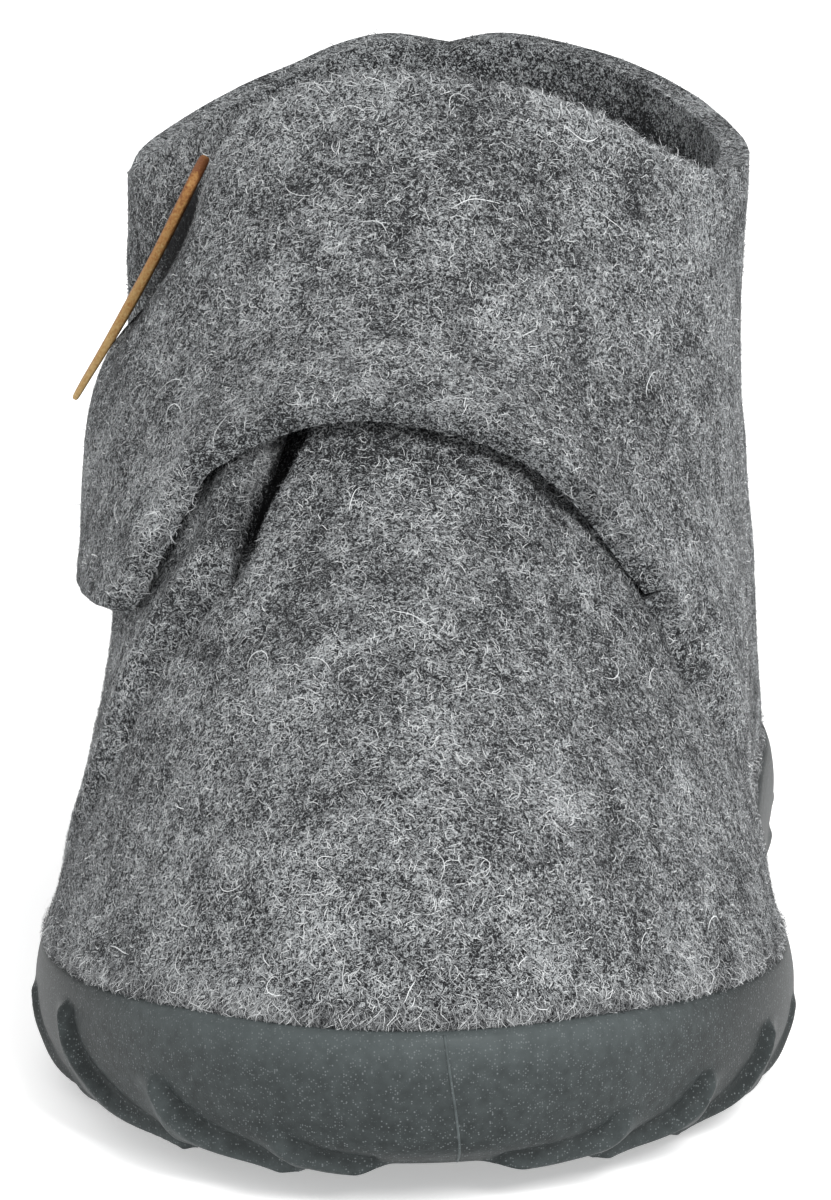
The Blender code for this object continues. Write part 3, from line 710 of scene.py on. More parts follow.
# Painted shade on the tongue, fading down from the strap's front edge, plus the painted shadow right under
# it.
under = ease(1.0 - (strap_front - felt_z) / UNDER_RUN) * vamp + EDGE_SHADOW * edge_shadow
# On the strap: painted darker toward its top, and a painted highlight along its top edge.
pale_edge = ease(1.0 - (1.0 - strap_q[1:]) / PALE_EDGE_SHARE)
strap_top = STRAP_TOP_SHADE * ease((strap_points[1:, :, 2] - STRAP_TOP_START) / STRAP_TOP_RUN)
strap_top = strap_top * (1.0 - pale_edge) - PALE_EDGE * pale_edge
set_value(felt, "under", on_felt(under, strap_top))
rear_fuzz = bell(1.0 - strap_q[1:], EDGE_SHARE) * (strap_p[1:] < FUZZ_END_P)
strap_edge = FRONT_FUZZ * bell(strap_q[1:], EDGE_SHARE) + rear_fuzz
slit_edge = bell(columns - OUTER_EDGE, SLIT_FUZZ_COLUMNS) * lateral * opened
set_value(felt, "cut_edge", on_felt(slit_edge, strap_edge))
print("marks", [name for name in felt.data.attributes.keys() if not name.startswith(".")])

# %% [markdown]
# ## Felt thickness
# So far the felt is a sheet without thickness. A Solidify modifier grows the real 2.6 mm inward and gives the
# inner face its own material, and a Bevel modifier rounds the cut edges as soft felt does.

# %% Felt thickness
EDGE_ROUND = 1.05
EDGE_STEPS = 3
EDGE_ANGLE = np.radians(55.0)
wall = felt.modifiers.new("felt_thickness", "SOLIDIFY")
wall.thickness = FELT * MM
wall.offset = -1.0
wall.use_even_offset = True
wall.material_offset = 1
wall.material_offset_rim = 0
soft_edge = felt.modifiers.new("soft_edge", "BEVEL")
soft_edge.width = EDGE_ROUND * MM
soft_edge.segments = EDGE_STEPS
soft_edge.limit_method = "ANGLE"
soft_edge.angle_limit = EDGE_ANGLE
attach(felt, "root")
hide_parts("upper", "strap")
print("felt %.1f mm thick" % FELT)

# %% [markdown]
# ## Shader tools
# Every material is a Principled shader fed by a few nodes. These small functions add one kind of node each
# and link it, so that a finish below reads as a short recipe.

# %% Shader tools
def fill(node, values):
    """Constant values on a node's own sockets."""
    for socket, value in values.items():
        node.inputs[socket].default_value = value


def new_finish(name, roughness, specular):
    """Material with its Principled shader and node tree ready."""
    material = bpy.data.materials.new(name)
    material.use_nodes = True
    tree = material.node_tree
    shader = tree.nodes["Principled BSDF"]
    fill(shader, {"Roughness": roughness, "Specular IOR Level": specular})
    return material, tree, shader


def own_place(tree):
    """The piece's own coordinates."""
    return tree.nodes.new("ShaderNodeTexCoord").outputs["Object"]


def noise_node(tree, scale, detail, distortion=0.0, where=None):
    """Noise in repeats per metre, on the piece's own coordinates unless others are given."""
    node = tree.nodes.new("ShaderNodeTexNoise")
    fill(node, {"Scale": scale, "Detail": detail, "Distortion": distortion})
    tree.links.new(own_place(tree) if where is None else where, node.inputs["Vector"])
    return node.outputs["Fac"]


def weighted_sum(tree, terms, start):
    """start + sum of weight times value, as a chain of multiply-add nodes."""
    total = None
    for value, weight in terms:
        node = tree.nodes.new("ShaderNodeMath")
        node.operation = "MULTIPLY_ADD"
        tree.links.new(value, node.inputs[0])
        node.inputs[1].default_value = weight
        if total is None:
            node.inputs[2].default_value = start
        else:
            tree.links.new(total, node.inputs[2])
        total = node.outputs[0]
    return total


def colour_ramp(tree, value, stops):
    """Colour along a row of (place, colour) stops."""
    node = tree.nodes.new("ShaderNodeValToRGB")
    while len(node.color_ramp.elements) < len(stops):
        node.color_ramp.elements.new(0.5)
    for element, (place, colour) in zip(node.color_ramp.elements, stops):
        element.position = place
        element.color = (*colour, 1.0)
    tree.links.new(value, node.inputs["Fac"])
    return node.outputs["Color"]


def stored(tree, name):
    """A number stored on the vertices."""
    node = tree.nodes.new("ShaderNodeAttribute")
    node.attribute_name = name
    return node.outputs["Fac"]


def add_bump(tree, shader, height, distance, strength):
    """Bump of that height field on a shader."""
    node = tree.nodes.new("ShaderNodeBump")
    fill(node, {"Distance": distance, "Strength": strength})
    tree.links.new(height, node.inputs["Height"])
    tree.links.new(node.outputs["Normal"], shader.inputs["Normal"])


def toned(colour, share):
    """A colour made darker or paler."""
    return tuple(share * c for c in colour)


# %% [markdown]
# ## Felt finish
# Under the loose fibres the felt is a dense tangle. Its colour mixes the stored patches and painted shade
# with clumps and with thin curling lines, pale over dark, and a bump of the same fields breaks up the light.
# The
# inner face follows the same recipe: painted paler at the collar, where light falls in, and with painted
# shade further down.

# %% Felt finish
WOOL_DARK = (0.022, 0.0225, 0.024)
WOOL_MID = (0.146, 0.154, 0.159)
WOOL_PALE = (0.49, 0.51, 0.52)
WOOL_STOPS = ((0.08, WOOL_DARK), (0.5, WOOL_MID), (1.0, WOOL_PALE))


def fibre_lines(tree, scale, shift, sharp):
    """Thin curling lines: 1 - sharp * |noise - 0.5|, which is high only along the noise's middle contour."""
    moved = tree.nodes.new("ShaderNodeMapping")
    fill(moved, {
        "Location": (shift, 2.0 * shift, -shift),
        "Rotation": (shift * 40.0, shift * 25.0, shift * 10.0),
    })
    tree.links.new(own_place(tree), moved.inputs["Vector"])
    noise = noise_node(tree, scale, 1.5, 1.2, moved.outputs["Vector"])
    away = tree.nodes.new("ShaderNodeMath")
    away.operation = "ABSOLUTE"
    tree.links.new(weighted_sum(tree, [(noise, sharp)], -0.5 * sharp), away.inputs[0])
    line = tree.nodes.new("ShaderNodeMath")
    line.operation = "SUBTRACT"
    line.use_clamp = True
    line.inputs[0].default_value = 1.0
    tree.links.new(away.outputs[0], line.inputs[1])
    return line.outputs[0]


def felt_finish(name, share, shade_name="under", deep_shade=0.12):
    """Dense felt: patches and clumps under pale and dark fibre lines, darker where a stored shade says so."""
    material, tree, shader = new_finish(name, 0.95, 0.1)
    clumps = noise_node(tree, 2200.0, 4.0, 1.0)
    pale_a = fibre_lines(tree, 1700.0, 0.013, 13.0)
    pale_b = fibre_lines(tree, 2600.0, 0.031, 10.0)
    dark_a = fibre_lines(tree, 1900.0, 0.047, 13.0)
    dark_b = fibre_lines(tree, 2900.0, 0.061, 10.0)
    tone = weighted_sum(tree, [
        (stored(tree, "mottle_and_painted_shade"), 0.34),
        (clumps, 1.3),
        (pale_a, 0.72),
        (pale_b, 0.66),
        (dark_a, -0.88),
        (dark_b, -0.80),
        (stored(tree, shade_name), -deep_shade),
    ], -0.12)
    stops = [(place, toned(colour, share)) for place, colour in WOOL_STOPS]
    tree.links.new(colour_ramp(tree, tone, stops), shader.inputs["Base Color"])
    height = weighted_sum(tree, [
        (clumps, 0.6),
        (pale_a, 0.4),
        (pale_b, 0.4),
        (dark_a, -0.4),
        (dark_b, -0.3),
    ], 0.0)
    add_bump(tree, shader, height, 0.0003, 0.9)
    return material


felt.data.materials.append(felt_finish("felt_outside", 1.0))
# The inner face is a paler copy of the felt, painted light where light falls in at the collar, with painted
# shade further down.
felt.data.materials.append(felt_finish("felt_inside", 1.35, "inside", 0.52))
print("felt finishes", [m.name for m in felt.data.materials])

# %% [markdown]
# ## Rubber cup sole
# The sole is moulded in one: a cup that holds the felt, a rounded side, claw-shaped lugs swept toward
# the toe, and a flat tread with a raised waist. The side is a profile carried round the outline, and the
# lugs are a height added along its normal, so their edges stay soft as on moulded rubber.

# %% Sole outline and side
# front, back, ball_lat, ball_med, heel_lat, heel_med, toe_cap, heel_cap, waist
SOLE_PLAN = (-69.0, 69.0, 33.9, 34.0, 32.9, 31.3, 50.0, 32.0, 1.8)
HALF_LENGTH = 69.0
# down, inset from the widest line, part of the wall height
WALL = np.array([
    (0.00, 1.30, 1.00),
    (0.04, 0.72, 0.975),
    (0.10, 0.38, 0.92),
    (0.20, 0.12, 0.82),
    (0.42, 0.00, 0.60),
    (0.66, 0.55, 0.34),
    (0.86, 1.90, 0.11),
    (1.00, 4.20, 0.00),
])
TOE_SPRING = 4.6
TOE_SPRING_Y = -22.0
TOE_SPRING_POWER = 0.95
CUP_SPRING_Y = -31.0
CUP_SPRING_POWER = 1.3
HEEL_SPRING = 1.6
HEEL_SPRING_Y = 52.0
ARCH = 1.8
ARCH_START_Y = -6.0
ARCH_END_Y = 20.0
FLOOR_RISE = 0.8
SPRING_LIMIT = 1.2
STEP_DOWN = 0.03


def spring_z(y, start, power):
    """Toe and heel spring: powers of the distance past the two flats."""
    toe = np.clip((start - y) / (start + HALF_LENGTH), 0.0, SPRING_LIMIT)
    heel = np.clip((y - HEEL_SPRING_Y) / (HALF_LENGTH - HEEL_SPRING_Y), 0.0, SPRING_LIMIT)
    return TOE_SPRING * toe ** power + HEEL_SPRING * heel ** 2


def underside_z(y):
    """Underside: springs at both ends and a sine-squared rise at the waist."""
    span = np.clip((y - ARCH_START_Y) / (ARCH_END_Y - ARCH_START_Y), 0.0, 1.0)
    return spring_z(y, TOE_SPRING_Y, TOE_SPRING_POWER) + ARCH * np.sin(np.pi * span) ** 2


def floor_z(y):
    """Floor of the cup."""
    return CUP_FLOOR + FLOOR_RISE * spring_z(y, CUP_SPRING_Y, CUP_SPRING_POWER)


def offset_loop(x, y, inset):
    """Closed plan loop moved inward along its own normal."""
    dx = np.roll(x, -1) - np.roll(x, 1)
    dy = np.roll(y, -1) - np.roll(y, 1)
    size = np.hypot(dx, dy)
    return x - dy / size * inset, y + dx / size * inset


SOLE_X, SOLE_Y = plan(*SOLE_PLAN)
SOLE_S = np.linspace(-0.5, 0.5, len(SOLE_X))
SOLE_GIRTH = np.hypot(np.diff(SOLE_X), np.diff(SOLE_Y)).sum()
IN_X, IN_Y = offset_loop(SOLE_X, SOLE_Y, 1.0)


def wall_point(s, down):
    """Point of the sole's side: the widest line, moved in and scaled in height by the side profile."""
    place = np.mod(s + 0.5, 1.0) - 0.5
    x = np.interp(place, SOLE_S, SOLE_X)
    y = np.interp(place, SOLE_S, SOLE_Y)
    inset = curve(WALL, 1, down)
    x = x + (np.interp(place, SOLE_S, IN_X) - x) * inset
    y = y + (np.interp(place, SOLE_S, IN_Y) - y) * inset
    low = underside_z(y)
    return np.stack((x, y, low + (rim_z(y) - low) * curve(WALL, 2, down)), axis=-1)


def wall_normal(s, down):
    """Outward direction of the sole's side."""
    along = wall_point(s + STEP_S, down) - wall_point(s - STEP_S, down)
    above = wall_point(s, np.clip(down - STEP_DOWN, 0.0, 1.0))
    below = wall_point(s, np.clip(down + STEP_DOWN, 0.0, 1.0))
    return unit(np.cross(along, above - below))


print("sole outline %.0f mm round" % SOLE_GIRTH)

# %% [markdown]
# ## Lugs on the side
# The lugs grip like claws: each starts at a tip on the side and runs down to the tread. They could be carved
# into the mesh one by one. Here one formula gives the height of a claw over the side, and a table says where
# each one sits, so all the lugs can be shaped at once.

# %% Lugs on the side
# far end from the toe along the outline, run back toward the toe, top edge, height
OUTER_LUGS = (
    (10.0, 8.4, 0.76, 1.2),
    (23.6, 13.2, 0.55, 1.3),
    (41.0, 17.0, 0.24, 1.1),
    (57.0, 15.6, 0.34, 0.55),
    (71.0, 13.6, 0.42, 0.45),
)
INNER_LUGS = (
    (22.4, 11.4, 0.74, 1.2),
    (34.2, 11.4, 0.60, 1.25),
    (47.2, 12.6, 0.42, 1.0),
    (60.2, 12.6, 0.42, 0.45),
    (73.2, 12.6, 0.42, 0.45),
)
HEEL_LUG_PITCH = 11.6
HEEL_LUG_FILL = 0.93
HEEL_LUG_TOP = 0.50
HEEL_LUG_STEP = 0.5
HEEL_HALF_GAP = 9.0
LUGS_HEEL = 4
LUG_FOOT = 0.98
LUG_SWEEP = 0.42
LUG_TIP = 0.02
LUG_RISE = 0.7
LUG_BODY = 0.3
LUG_CREST = 0.6
LUG_FALL = 2.2
LUG_TAIL = 6.0
LUG_TIP_ROUND = 1.8
LUG_GROOVE = 0.22
LUG_GROOVE_WIDTH = 0.5
SIDE_HEIGHT = 14.0


def claw(along, run, down, top):
    """Height of one claw. Its edge falls from the tip as a power of the way along and goes on straight
    past both ends. Inside the edge a crest rises, falls back to a low body and fades away behind the tip;
    a shallow groove runs outside."""
    inside = np.clip(along, LUG_TIP, 1.0)
    edge = top + (LUG_FOOT - top) * inside ** LUG_SWEEP
    slope = LUG_SWEEP * (LUG_FOOT - top) * inside ** (LUG_SWEEP - 1.0) * SIDE_HEIGHT / run
    behind = (inside - along) * run
    depth = ((down - edge) * SIDE_HEIGHT + behind * slope) / np.sqrt(1.0 + slope ** 2)
    crest = LUG_BODY + (1.0 - LUG_BODY) * bell(np.maximum(depth - LUG_CREST, 0.0), LUG_FALL)
    fade = ease((down - top) * SIDE_HEIGHT / LUG_TIP_ROUND + 0.5) * (1.0 - ease(behind / LUG_TAIL))
    groove = LUG_GROOVE * bell(depth + LUG_GROOVE_WIDTH, LUG_GROOVE_WIDTH) * (1.0 - ease(behind / LUG_FALL))
    return fade * (ease(depth / LUG_RISE) * crest - groove * (inside < 1.0))


def lug_height(s, down):
    """Height of all the lugs over the side, each at its own place along the outline."""
    run_out = s * SOLE_GIRTH
    total = np.zeros_like(run_out)
    for side_sign, forefoot in ((-1.0, OUTER_LUGS), (1.0, INNER_LUGS)):
        from_toe = side_sign * run_out
        for far, run, top, step in forefoot:
            total = total + step * claw((far - from_toe) / run, run, down, top)
        for n in range(LUGS_HEEL):
            far = SOLE_GIRTH / 2 - HEEL_HALF_GAP - (n + 1) * HEEL_LUG_PITCH
            run = HEEL_LUG_PITCH * HEEL_LUG_FILL
            total = total + HEEL_LUG_STEP * claw((from_toe - far) / run, run, down, HEEL_LUG_TOP)
    return total


print("lugs", len(OUTER_LUGS) + len(INNER_LUGS) + 2 * LUGS_HEEL)

# %% [markdown]
# ## Sole mesh
# The sole is a stack of loops: out from the middle of the cup's floor, up its wall, over the rim, down the
# side with its lugs and back to the middle of the tread. Joining each loop to the next closes the sole all
# round. Painted light and shade on the rubber is stored on the side: a painted highlight on the lugs and on
# a band below the rim at the toe, and painted shade toward the tread and on both sides.

# %% Sole mesh
SOLE_COLUMNS = 960
SIDE_ROWS = 52
RIM_ROUND = 0.5
LIP_DROP = 0.02
CUP_TOUCH = 0.05
SPINE_END = 40.0
MIDDLE = 1.0
CUP_SHARES = (MIDDLE, 0.6, 0.25)
TREAD_SHARES = (0.12, 0.3, 0.6, MIDDLE)
# Shares of painted highlight and painted shade on the side of the sole: lugs, pale band, dark foot and sides.
LUG_HIGHLIGHT = 0.7
PALE_BAND = 1.3
BAND_DEPTH = 0.4
BAND_Y = -40.0
BAND_RUN = 25.0
DARK_FOOT = 0.5
FOOT_START = 0.35
FOOT_RUN = 0.6
DARK_SIDES = 0.9
SIDES_X = 20.0
SIDES_RUN = 12.0
LOOP_PASSES = 3
sole_s = np.linspace(-0.5, 0.5, SOLE_COLUMNS + 1)[:-1]


def felt_loop(height, inset):
    """Loop of the felt at the heights that a function of y gives, moved in or out. The outline's y changes
    with the height, so a few passes settle the two."""
    z = np.full(SOLE_COLUMNS, CUP_FLOOR)
    for _ in range(LOOP_PASSES):
        z = height(sample(LEVEL_Y, sole_s, z))
    x, y = offset_loop(sample(LEVEL_X, sole_s, z), sample(LEVEL_Y, sole_s, z), inset)
    return np.stack((x, y, z), axis=-1)


def rings_to_middle(loop, height, shares):
    """Loops shrunk toward the long middle line of the sole, each lying on a height function of y. The two
    columns that mirror each other share one point of that line."""
    mirrored = np.roll(loop[::-1, 1], 1)
    spine_y = np.clip((loop[:, 1] + mirrored) / 2, -SPINE_END, SPINE_END)
    spine = np.stack((0.0 * spine_y, spine_y), axis=-1)
    rings = []
    for share in shares:
        flat = loop[:, :2] + (spine - loop[:, :2]) * share
        rings.append(np.concatenate((flat, height(flat[:, 1])[:, None]), axis=-1))
    return rings


down, around = np.meshgrid(np.linspace(0.0, 1.0, SIDE_ROWS), sole_s, indexing="ij")
raised = lug_height(around, down)
side = wall_point(around, down) + wall_normal(around, down) * raised[..., None]
side[..., 2] = np.maximum(side[..., 2], 0.0)
cup_edge = felt_loop(floor_z, -GAP)
cup_top = felt_loop(rim_z, -CUP_TOUCH)
cup_top[:, 2] -= RIM_ROUND
lip = 0.5 * (cup_top + side[0])
lip[:, 2] = side[0][:, 2] - LIP_DROP
cup_loops = rings_to_middle(cup_edge, floor_z, CUP_SHARES) + [cup_edge, cup_top, lip]
tread_loops = rings_to_middle(side[-1], underside_z, TREAD_SHARES)
loops = np.array(cup_loops + list(side) + tread_loops)
sole = add_closed_grid("rubber_sole", loops, flip=True)
# Painted highlight on the raised lugs and in a band below the rim at the toe; painted shade toward the tread
# and on both sides.
pale_band = PALE_BAND * ease(1.0 - down / BAND_DEPTH) * ease((BAND_Y - side[..., 1]) / BAND_RUN)
dark_foot = DARK_FOOT * ease((down - FOOT_START) / FOOT_RUN)
dark_sides = DARK_SIDES * ease((np.abs(side[..., 0]) - SIDES_X) / SIDES_RUN)
painted_sheen_and_shade = np.zeros(loops.shape[:2])
painted_sheen_and_shade[len(cup_loops):len(cup_loops) + SIDE_ROWS] = LUG_HIGHLIGHT * raised + pale_band - (dark_foot + dark_sides)
set_value(sole, "painted_sheen_and_shade", painted_sheen_and_shade)
close_seams(sole)
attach(sole, "root")
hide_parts("outsole")
print("sole grid", loops.shape[:2])

# %% [markdown]
# ## Mould line
# Where the two halves of the mould met at the toe, a thin raised line runs from the rim to the tread. It
# is a small round bead carried along a path on the side of the sole.

# %% Mould line
BEAD = 0.13
BEAD_SIDES = 8
BEAD_STEPS = 46
LINE_TOP = 0.03
LINE_FOOT = 0.985
LINE_OFF = 4.7
LINE_DRIFT = 2.1
LINE_POWER = 1.5
path_down = np.linspace(LINE_TOP, LINE_FOOT, BEAD_STEPS)
path_s = (LINE_OFF + LINE_DRIFT * path_down ** LINE_POWER) / SOLE_GIRTH
path = wall_point(path_s, path_down)
path_normal = wall_normal(path_s, path_down)
path_across = unit(np.cross(np.gradient(path, axis=0), path_normal))
turn = np.linspace(0.0, 2.0 * np.pi, BEAD_SIDES + 1)[:-1]
ring = path_across[:, None] * np.cos(turn)[:, None] + path_normal[:, None] * np.sin(turn)[:, None]
bead_points = path[:, None] + BEAD * ring
no_width = 0.0 * ring[:1]
bead_points = np.concatenate((path[:1, None] + no_width, bead_points, path[-1:, None] + no_width))
mould_line = add_closed_grid("mould_line", bead_points)
close_seams(mould_line)
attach(mould_line, "root")
print("mould line %.0f mm long" % np.linalg.norm(np.diff(path, axis=0), axis=1).sum())

# %% [markdown]
# ## Rubber finish
# The rubber is matt slate grey with fine pale specks of ground material in it. The specks are the hearts of
# small cells, kept only where a cell's own random colour is high. A very fine bump keeps the sheen soft.

# %% Rubber finish
RUBBER = (0.034, 0.040, 0.0405)
SPECK = (0.118, 0.130, 0.133)
RUBBER_DARK = 0.6
RUBBER_PALE = 1.75
LINE_PALE = 1.8


def rubber_finish(name, colour):
    """Matt rubber: a base with cloudy variation, mixed to a pale speck inside chosen cells."""
    material, tree, shader = new_finish(name, 0.46, 0.1)
    cells = tree.nodes.new("ShaderNodeTexVoronoi")
    fill(cells, {"Scale": 5000.0})
    tree.links.new(own_place(tree), cells.inputs["Vector"])
    parts = tree.nodes.new("ShaderNodeSeparateColor")
    tree.links.new(cells.outputs["Color"], parts.inputs["Color"])
    speck = weighted_sum(tree, [(cells.outputs["Distance"], -3.5), (parts.outputs["Red"], 2.6)], -0.75)
    # The cloud also takes the painted highlight and shade stored on the sole.
    cloud = weighted_sum(tree, [(noise_node(tree, 900.0, 6.0), 0.7), (stored(tree, "painted_sheen_and_shade"), 0.35)], 0.12)
    base = colour_ramp(tree, cloud, [(0.2, toned(colour, RUBBER_DARK)), (0.9, toned(colour, RUBBER_PALE))])
    mix = tree.nodes.new("ShaderNodeMix")
    mix.data_type = "RGBA"
    mix.clamp_factor = True
    tree.links.new(speck, mix.inputs["Factor"])
    tree.links.new(base, mix.inputs[6])
    mix.inputs[7].default_value = (*SPECK, 1.0)
    tree.links.new(mix.outputs[2], shader.inputs["Base Color"])
    add_bump(tree, shader, noise_node(tree, 4200.0, 2.0), 0.00006, 0.6)
    return material


sole.data.materials.append(rubber_finish("slate_rubber", RUBBER))
mould_line.data.materials.append(rubber_finish("mould_line_rubber", toned(RUBBER, LINE_PALE)))
print("rubber finishes", sole.data.materials[0].name, mould_line.data.materials[0].name)

# %% [markdown]
# ## Footbed
# Inside lies a plain felt footbed with a rounded edge. It is the cup's own outline, moved in by one felt wall
# and closed above and below.

# %% Footbed
FOOTBED_THICKNESS = 3.0
BED_CLEARANCE = 0.2
BED_ROUND = 0.4
BED_LOW_SHARES = (MIDDLE, 0.5)
BED_HIGH_SHARES = (0.02, 0.1, 0.3, 0.6, MIDDLE)
BED_SKIP = 4


def bed_floor(y):
    """Underside of the footbed, just above the cup's floor."""
    return floor_z(y) + GAP


def bed_top(y):
    """Upper side of the footbed."""
    return floor_z(y) + GAP + FOOTBED_THICKNESS


bed_edge = felt_loop(bed_floor, FELT + GAP + BED_CLEARANCE)
bed_low = rings_to_middle(bed_edge, bed_floor, BED_LOW_SHARES)
bed_high = rings_to_middle(bed_edge, bed_top, BED_HIGH_SHARES)
bed_top_edge = bed_edge + np.array((0.0, 0.0, FOOTBED_THICKNESS - BED_ROUND))
bed_loops = np.array(bed_low + [bed_edge, bed_top_edge] + bed_high)[:, ::BED_SKIP]
footbed = add_closed_grid("footbed", bed_loops)
set_value(footbed, "mottle_and_painted_shade", mottle_and_painted_shade(bed_loops.reshape(-1, 3)))
close_seams(footbed)
footbed.data.materials.append(felt_finish("footbed_felt", 0.8))
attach(footbed, "root")
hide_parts("insole")
print("footbed grid", bed_loops.shape[:2])

# %% [markdown]
# ## Leather tab
# A flat strip of thick tan leather stands along the strap's rear edge. In the picture its cut edge shows:
# honey coloured, thinner at the foot and burnished orange at the top. It is a rounded rectangle carried
# along a gently bowed line.

# %% Leather tab
TAB_TOP = np.array((-20.6, 9.0, 72.6))
TAB_FOOT = np.array((-32.2, 16.2, 49.7))
TAB_WIDTH = 6.0
TAB_THICKNESS = 1.02
TAB_BOW = 0.35
TAB_STAND_OFF = np.array((-0.25, -1.2, 0.3))
TAB_ACROSS = np.array((0.07, 1.0, 0.0))
TAB_CORNER = 1.6
TAB_STRAIGHT = 2.4
TAB_CORNER_STEPS = 9
TAB_STRAIGHT_STEPS = 40
TAB_THINNING = 0.38
TAB_THIN_START = 0.55
TAB_END_ROUND = 0.35
TAB_SIDES = 48
TAB_WIDE_POWER = 0.35
TAB_THICK_POWER = 0.45
TAB_SIDE_POWER = 4
tab_length = np.linalg.norm(TAB_FOOT - TAB_TOP)
tab_along = (TAB_FOOT - TAB_TOP) / tab_length
tab_across = unit(TAB_ACROSS - tab_along * TAB_ACROSS.dot(tab_along))
tab_face = np.cross(tab_along, tab_across)
round_end = TAB_CORNER * (1 - np.cos(np.linspace(0.0, np.pi / 2, TAB_CORNER_STEPS)))
straight = np.linspace(TAB_STRAIGHT, tab_length - TAB_STRAIGHT, TAB_STRAIGHT_STEPS)
steps = np.concatenate((round_end, straight, tab_length - round_end[::-1]))
end_gap = np.minimum(steps, tab_length - steps)
in_corner = np.maximum(TAB_CORNER - end_gap, 0.0)
corner = TAB_CORNER - np.sqrt(np.maximum(TAB_CORNER ** 2 - in_corner ** 2, 0.0))
half_width = TAB_WIDTH / 2 - corner
thinner = TAB_THINNING * ease((steps / tab_length - TAB_THIN_START) / (1.0 - TAB_THIN_START))
half_thick = TAB_THICKNESS / 2 * (1.0 - thinner) * np.sqrt(np.clip(end_gap / TAB_END_ROUND, 0.0, 1.0))
turn = np.linspace(0.0, 2.0 * np.pi, TAB_SIDES + 1)[:-1]
flat_x = np.sign(np.cos(turn)) * np.abs(np.cos(turn)) ** TAB_WIDE_POWER
flat_y = np.sign(np.sin(turn)) * np.abs(np.sin(turn)) ** TAB_THICK_POWER
bow = TAB_BOW * np.sin(np.pi * steps / tab_length)
centre = TAB_TOP + TAB_STAND_OFF + tab_along * steps[:, None] + tab_across * TAB_WIDTH / 2
centre = centre + tab_face * bow[:, None]
tab_points = (centre[:, None] + tab_across * (half_width[:, None] * flat_x)[..., None]
              + tab_face * (half_thick[:, None] * flat_y)[..., None])
tab = add_closed_grid("tan_leather_tab", tab_points)
set_value(tab, "along", np.repeat(steps / tab_length, len(turn)))
set_value(tab, "side", np.tile(np.abs(flat_y) ** TAB_SIDE_POWER, len(steps)))
close_seams(tab)
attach(tab, "root")
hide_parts("leather_tab")
print("tab %.1f mm long" % tab_length)

# %% [markdown]
# ## Leather finish
# The cut edge of leather is a fibrous tan. Fine grain and slow streaks make the tone, which goes from a dark
# burnished orange at the top to pale honey at the foot, and the flat faces are a little darker than the edge.

# %% Leather finish
LEATHER_STOPS = (
    (0.0, (0.16, 0.055, 0.018)),
    (0.3, (0.29, 0.14, 0.045)),
    (0.55, (0.34, 0.21, 0.08)),
    (1.0, (0.47, 0.33, 0.15)),
)
leather, tree, shader = new_finish("tan_leather", 0.7, 0.2)
grain = noise_node(tree, 3800.0, 3.0, 0.6)
streaks = noise_node(tree, 700.0, 3.0)
tone = weighted_sum(tree, [
    (stored(tree, "along"), 0.55),
    (grain, 1.1),
    (streaks, 0.4),
    (stored(tree, "side"), -0.3),
], -0.5)
tree.links.new(colour_ramp(tree, tone, LEATHER_STOPS), shader.inputs["Base Color"])
add_bump(tree, shader, grain, 0.0002, 0.6)
tab.data.materials.append(leather)
print("leather finish", leather.name)

# %% [markdown]
# ## Loose wool fibres
# What makes felt look like wool is its nap: thousands of short curled fibres lying over each other, a few
# longer pale hairs, and fuzz on every edge. Roots are spread at random over the finished felt,
# weighted by area, and each fibre is a thin ribbon along an arc that rises out of the felt and dips back.

# %% Where fibres grow
UNDER_DIM = 0.3
DOWN_LIMIT = -0.35
DOWN_GROWTH = 0.15
RIM_OVERLAP = 0.6
INSIDE_GROWTH = 0.35
INSIDE_LOW_Z = 48.0
RIM_REACH = 3.0
RIM_GROWTH = 1.5
FRONT_Y = 20.0
FRONT_RUN = 30.0
FRONT_GROWTH = 0.8


def mesh_numbers(rows, name, kind, width=1):
    """A number or a vector of each row of a mesh's list, as one array."""
    values = np.empty(len(rows) * width, dtype=kind)
    rows.foreach_get(name, values)
    return values.reshape(-1, width) if width > 1 else values


deps = bpy.context.evaluated_depsgraph_get()
shown = felt.evaluated_get(deps).to_mesh()
shown.calc_loop_triangles()
corners = mesh_numbers(shown.loop_triangles, "vertices", np.int32, 3)
owner = mesh_numbers(shown.loop_triangles, "polygon_index", np.int32)
inner = mesh_numbers(shown.polygons, "material_index", np.int32)[owner] == 1
skin = mesh_numbers(shown.vertices, "co", float, 3) / MM
skin_normal = mesh_numbers(shown.vertices, "normal", float, 3)
edge_a = skin[corners[:, 1]] - skin[corners[:, 0]]
edge_b = skin[corners[:, 2]] - skin[corners[:, 0]]
area = np.linalg.norm(np.cross(edge_a, edge_b), axis=-1) / 2
heart = skin[corners].mean(axis=1)


def skin_value(name):
    """A number stored on the felt, as the mean over each triangle's corners, kept between 0 and 1."""
    values = mesh_numbers(shown.attributes[name].data, "value", np.float32)
    return np.clip(values[corners].mean(axis=1), 0.0, 1.0)


# Painted shade for the fibres: from the depth inside the collar, and from the shade below the strap outside.
dim = np.where(inner, skin_value("inside"), UNDER_DIM * skin_value("under"))
faces_down = skin_normal[corners].mean(axis=1)[:, 2] < DOWN_LIMIT
over_rim = heart[:, 2] - rim_z(heart[:, 1])
grows = np.where(inner, INSIDE_GROWTH * (heart[:, 2] > INSIDE_LOW_Z), 1.0) * (over_rim > -RIM_OVERLAP) * area
grows = grows * skin_value("nap") * np.where(faces_down, DOWN_GROWTH, 1.0)
grows = grows * (1.0 + FRONT_GROWTH * ease((FRONT_Y - heart[:, 1]) / FRONT_RUN))
grows = grows * (1.0 + RIM_GROWTH * ease((RIM_REACH - over_rim) / RIM_REACH))
print("felt triangles", len(corners), "outer area %.0f cm2" % (area[~inner].sum() / 100))

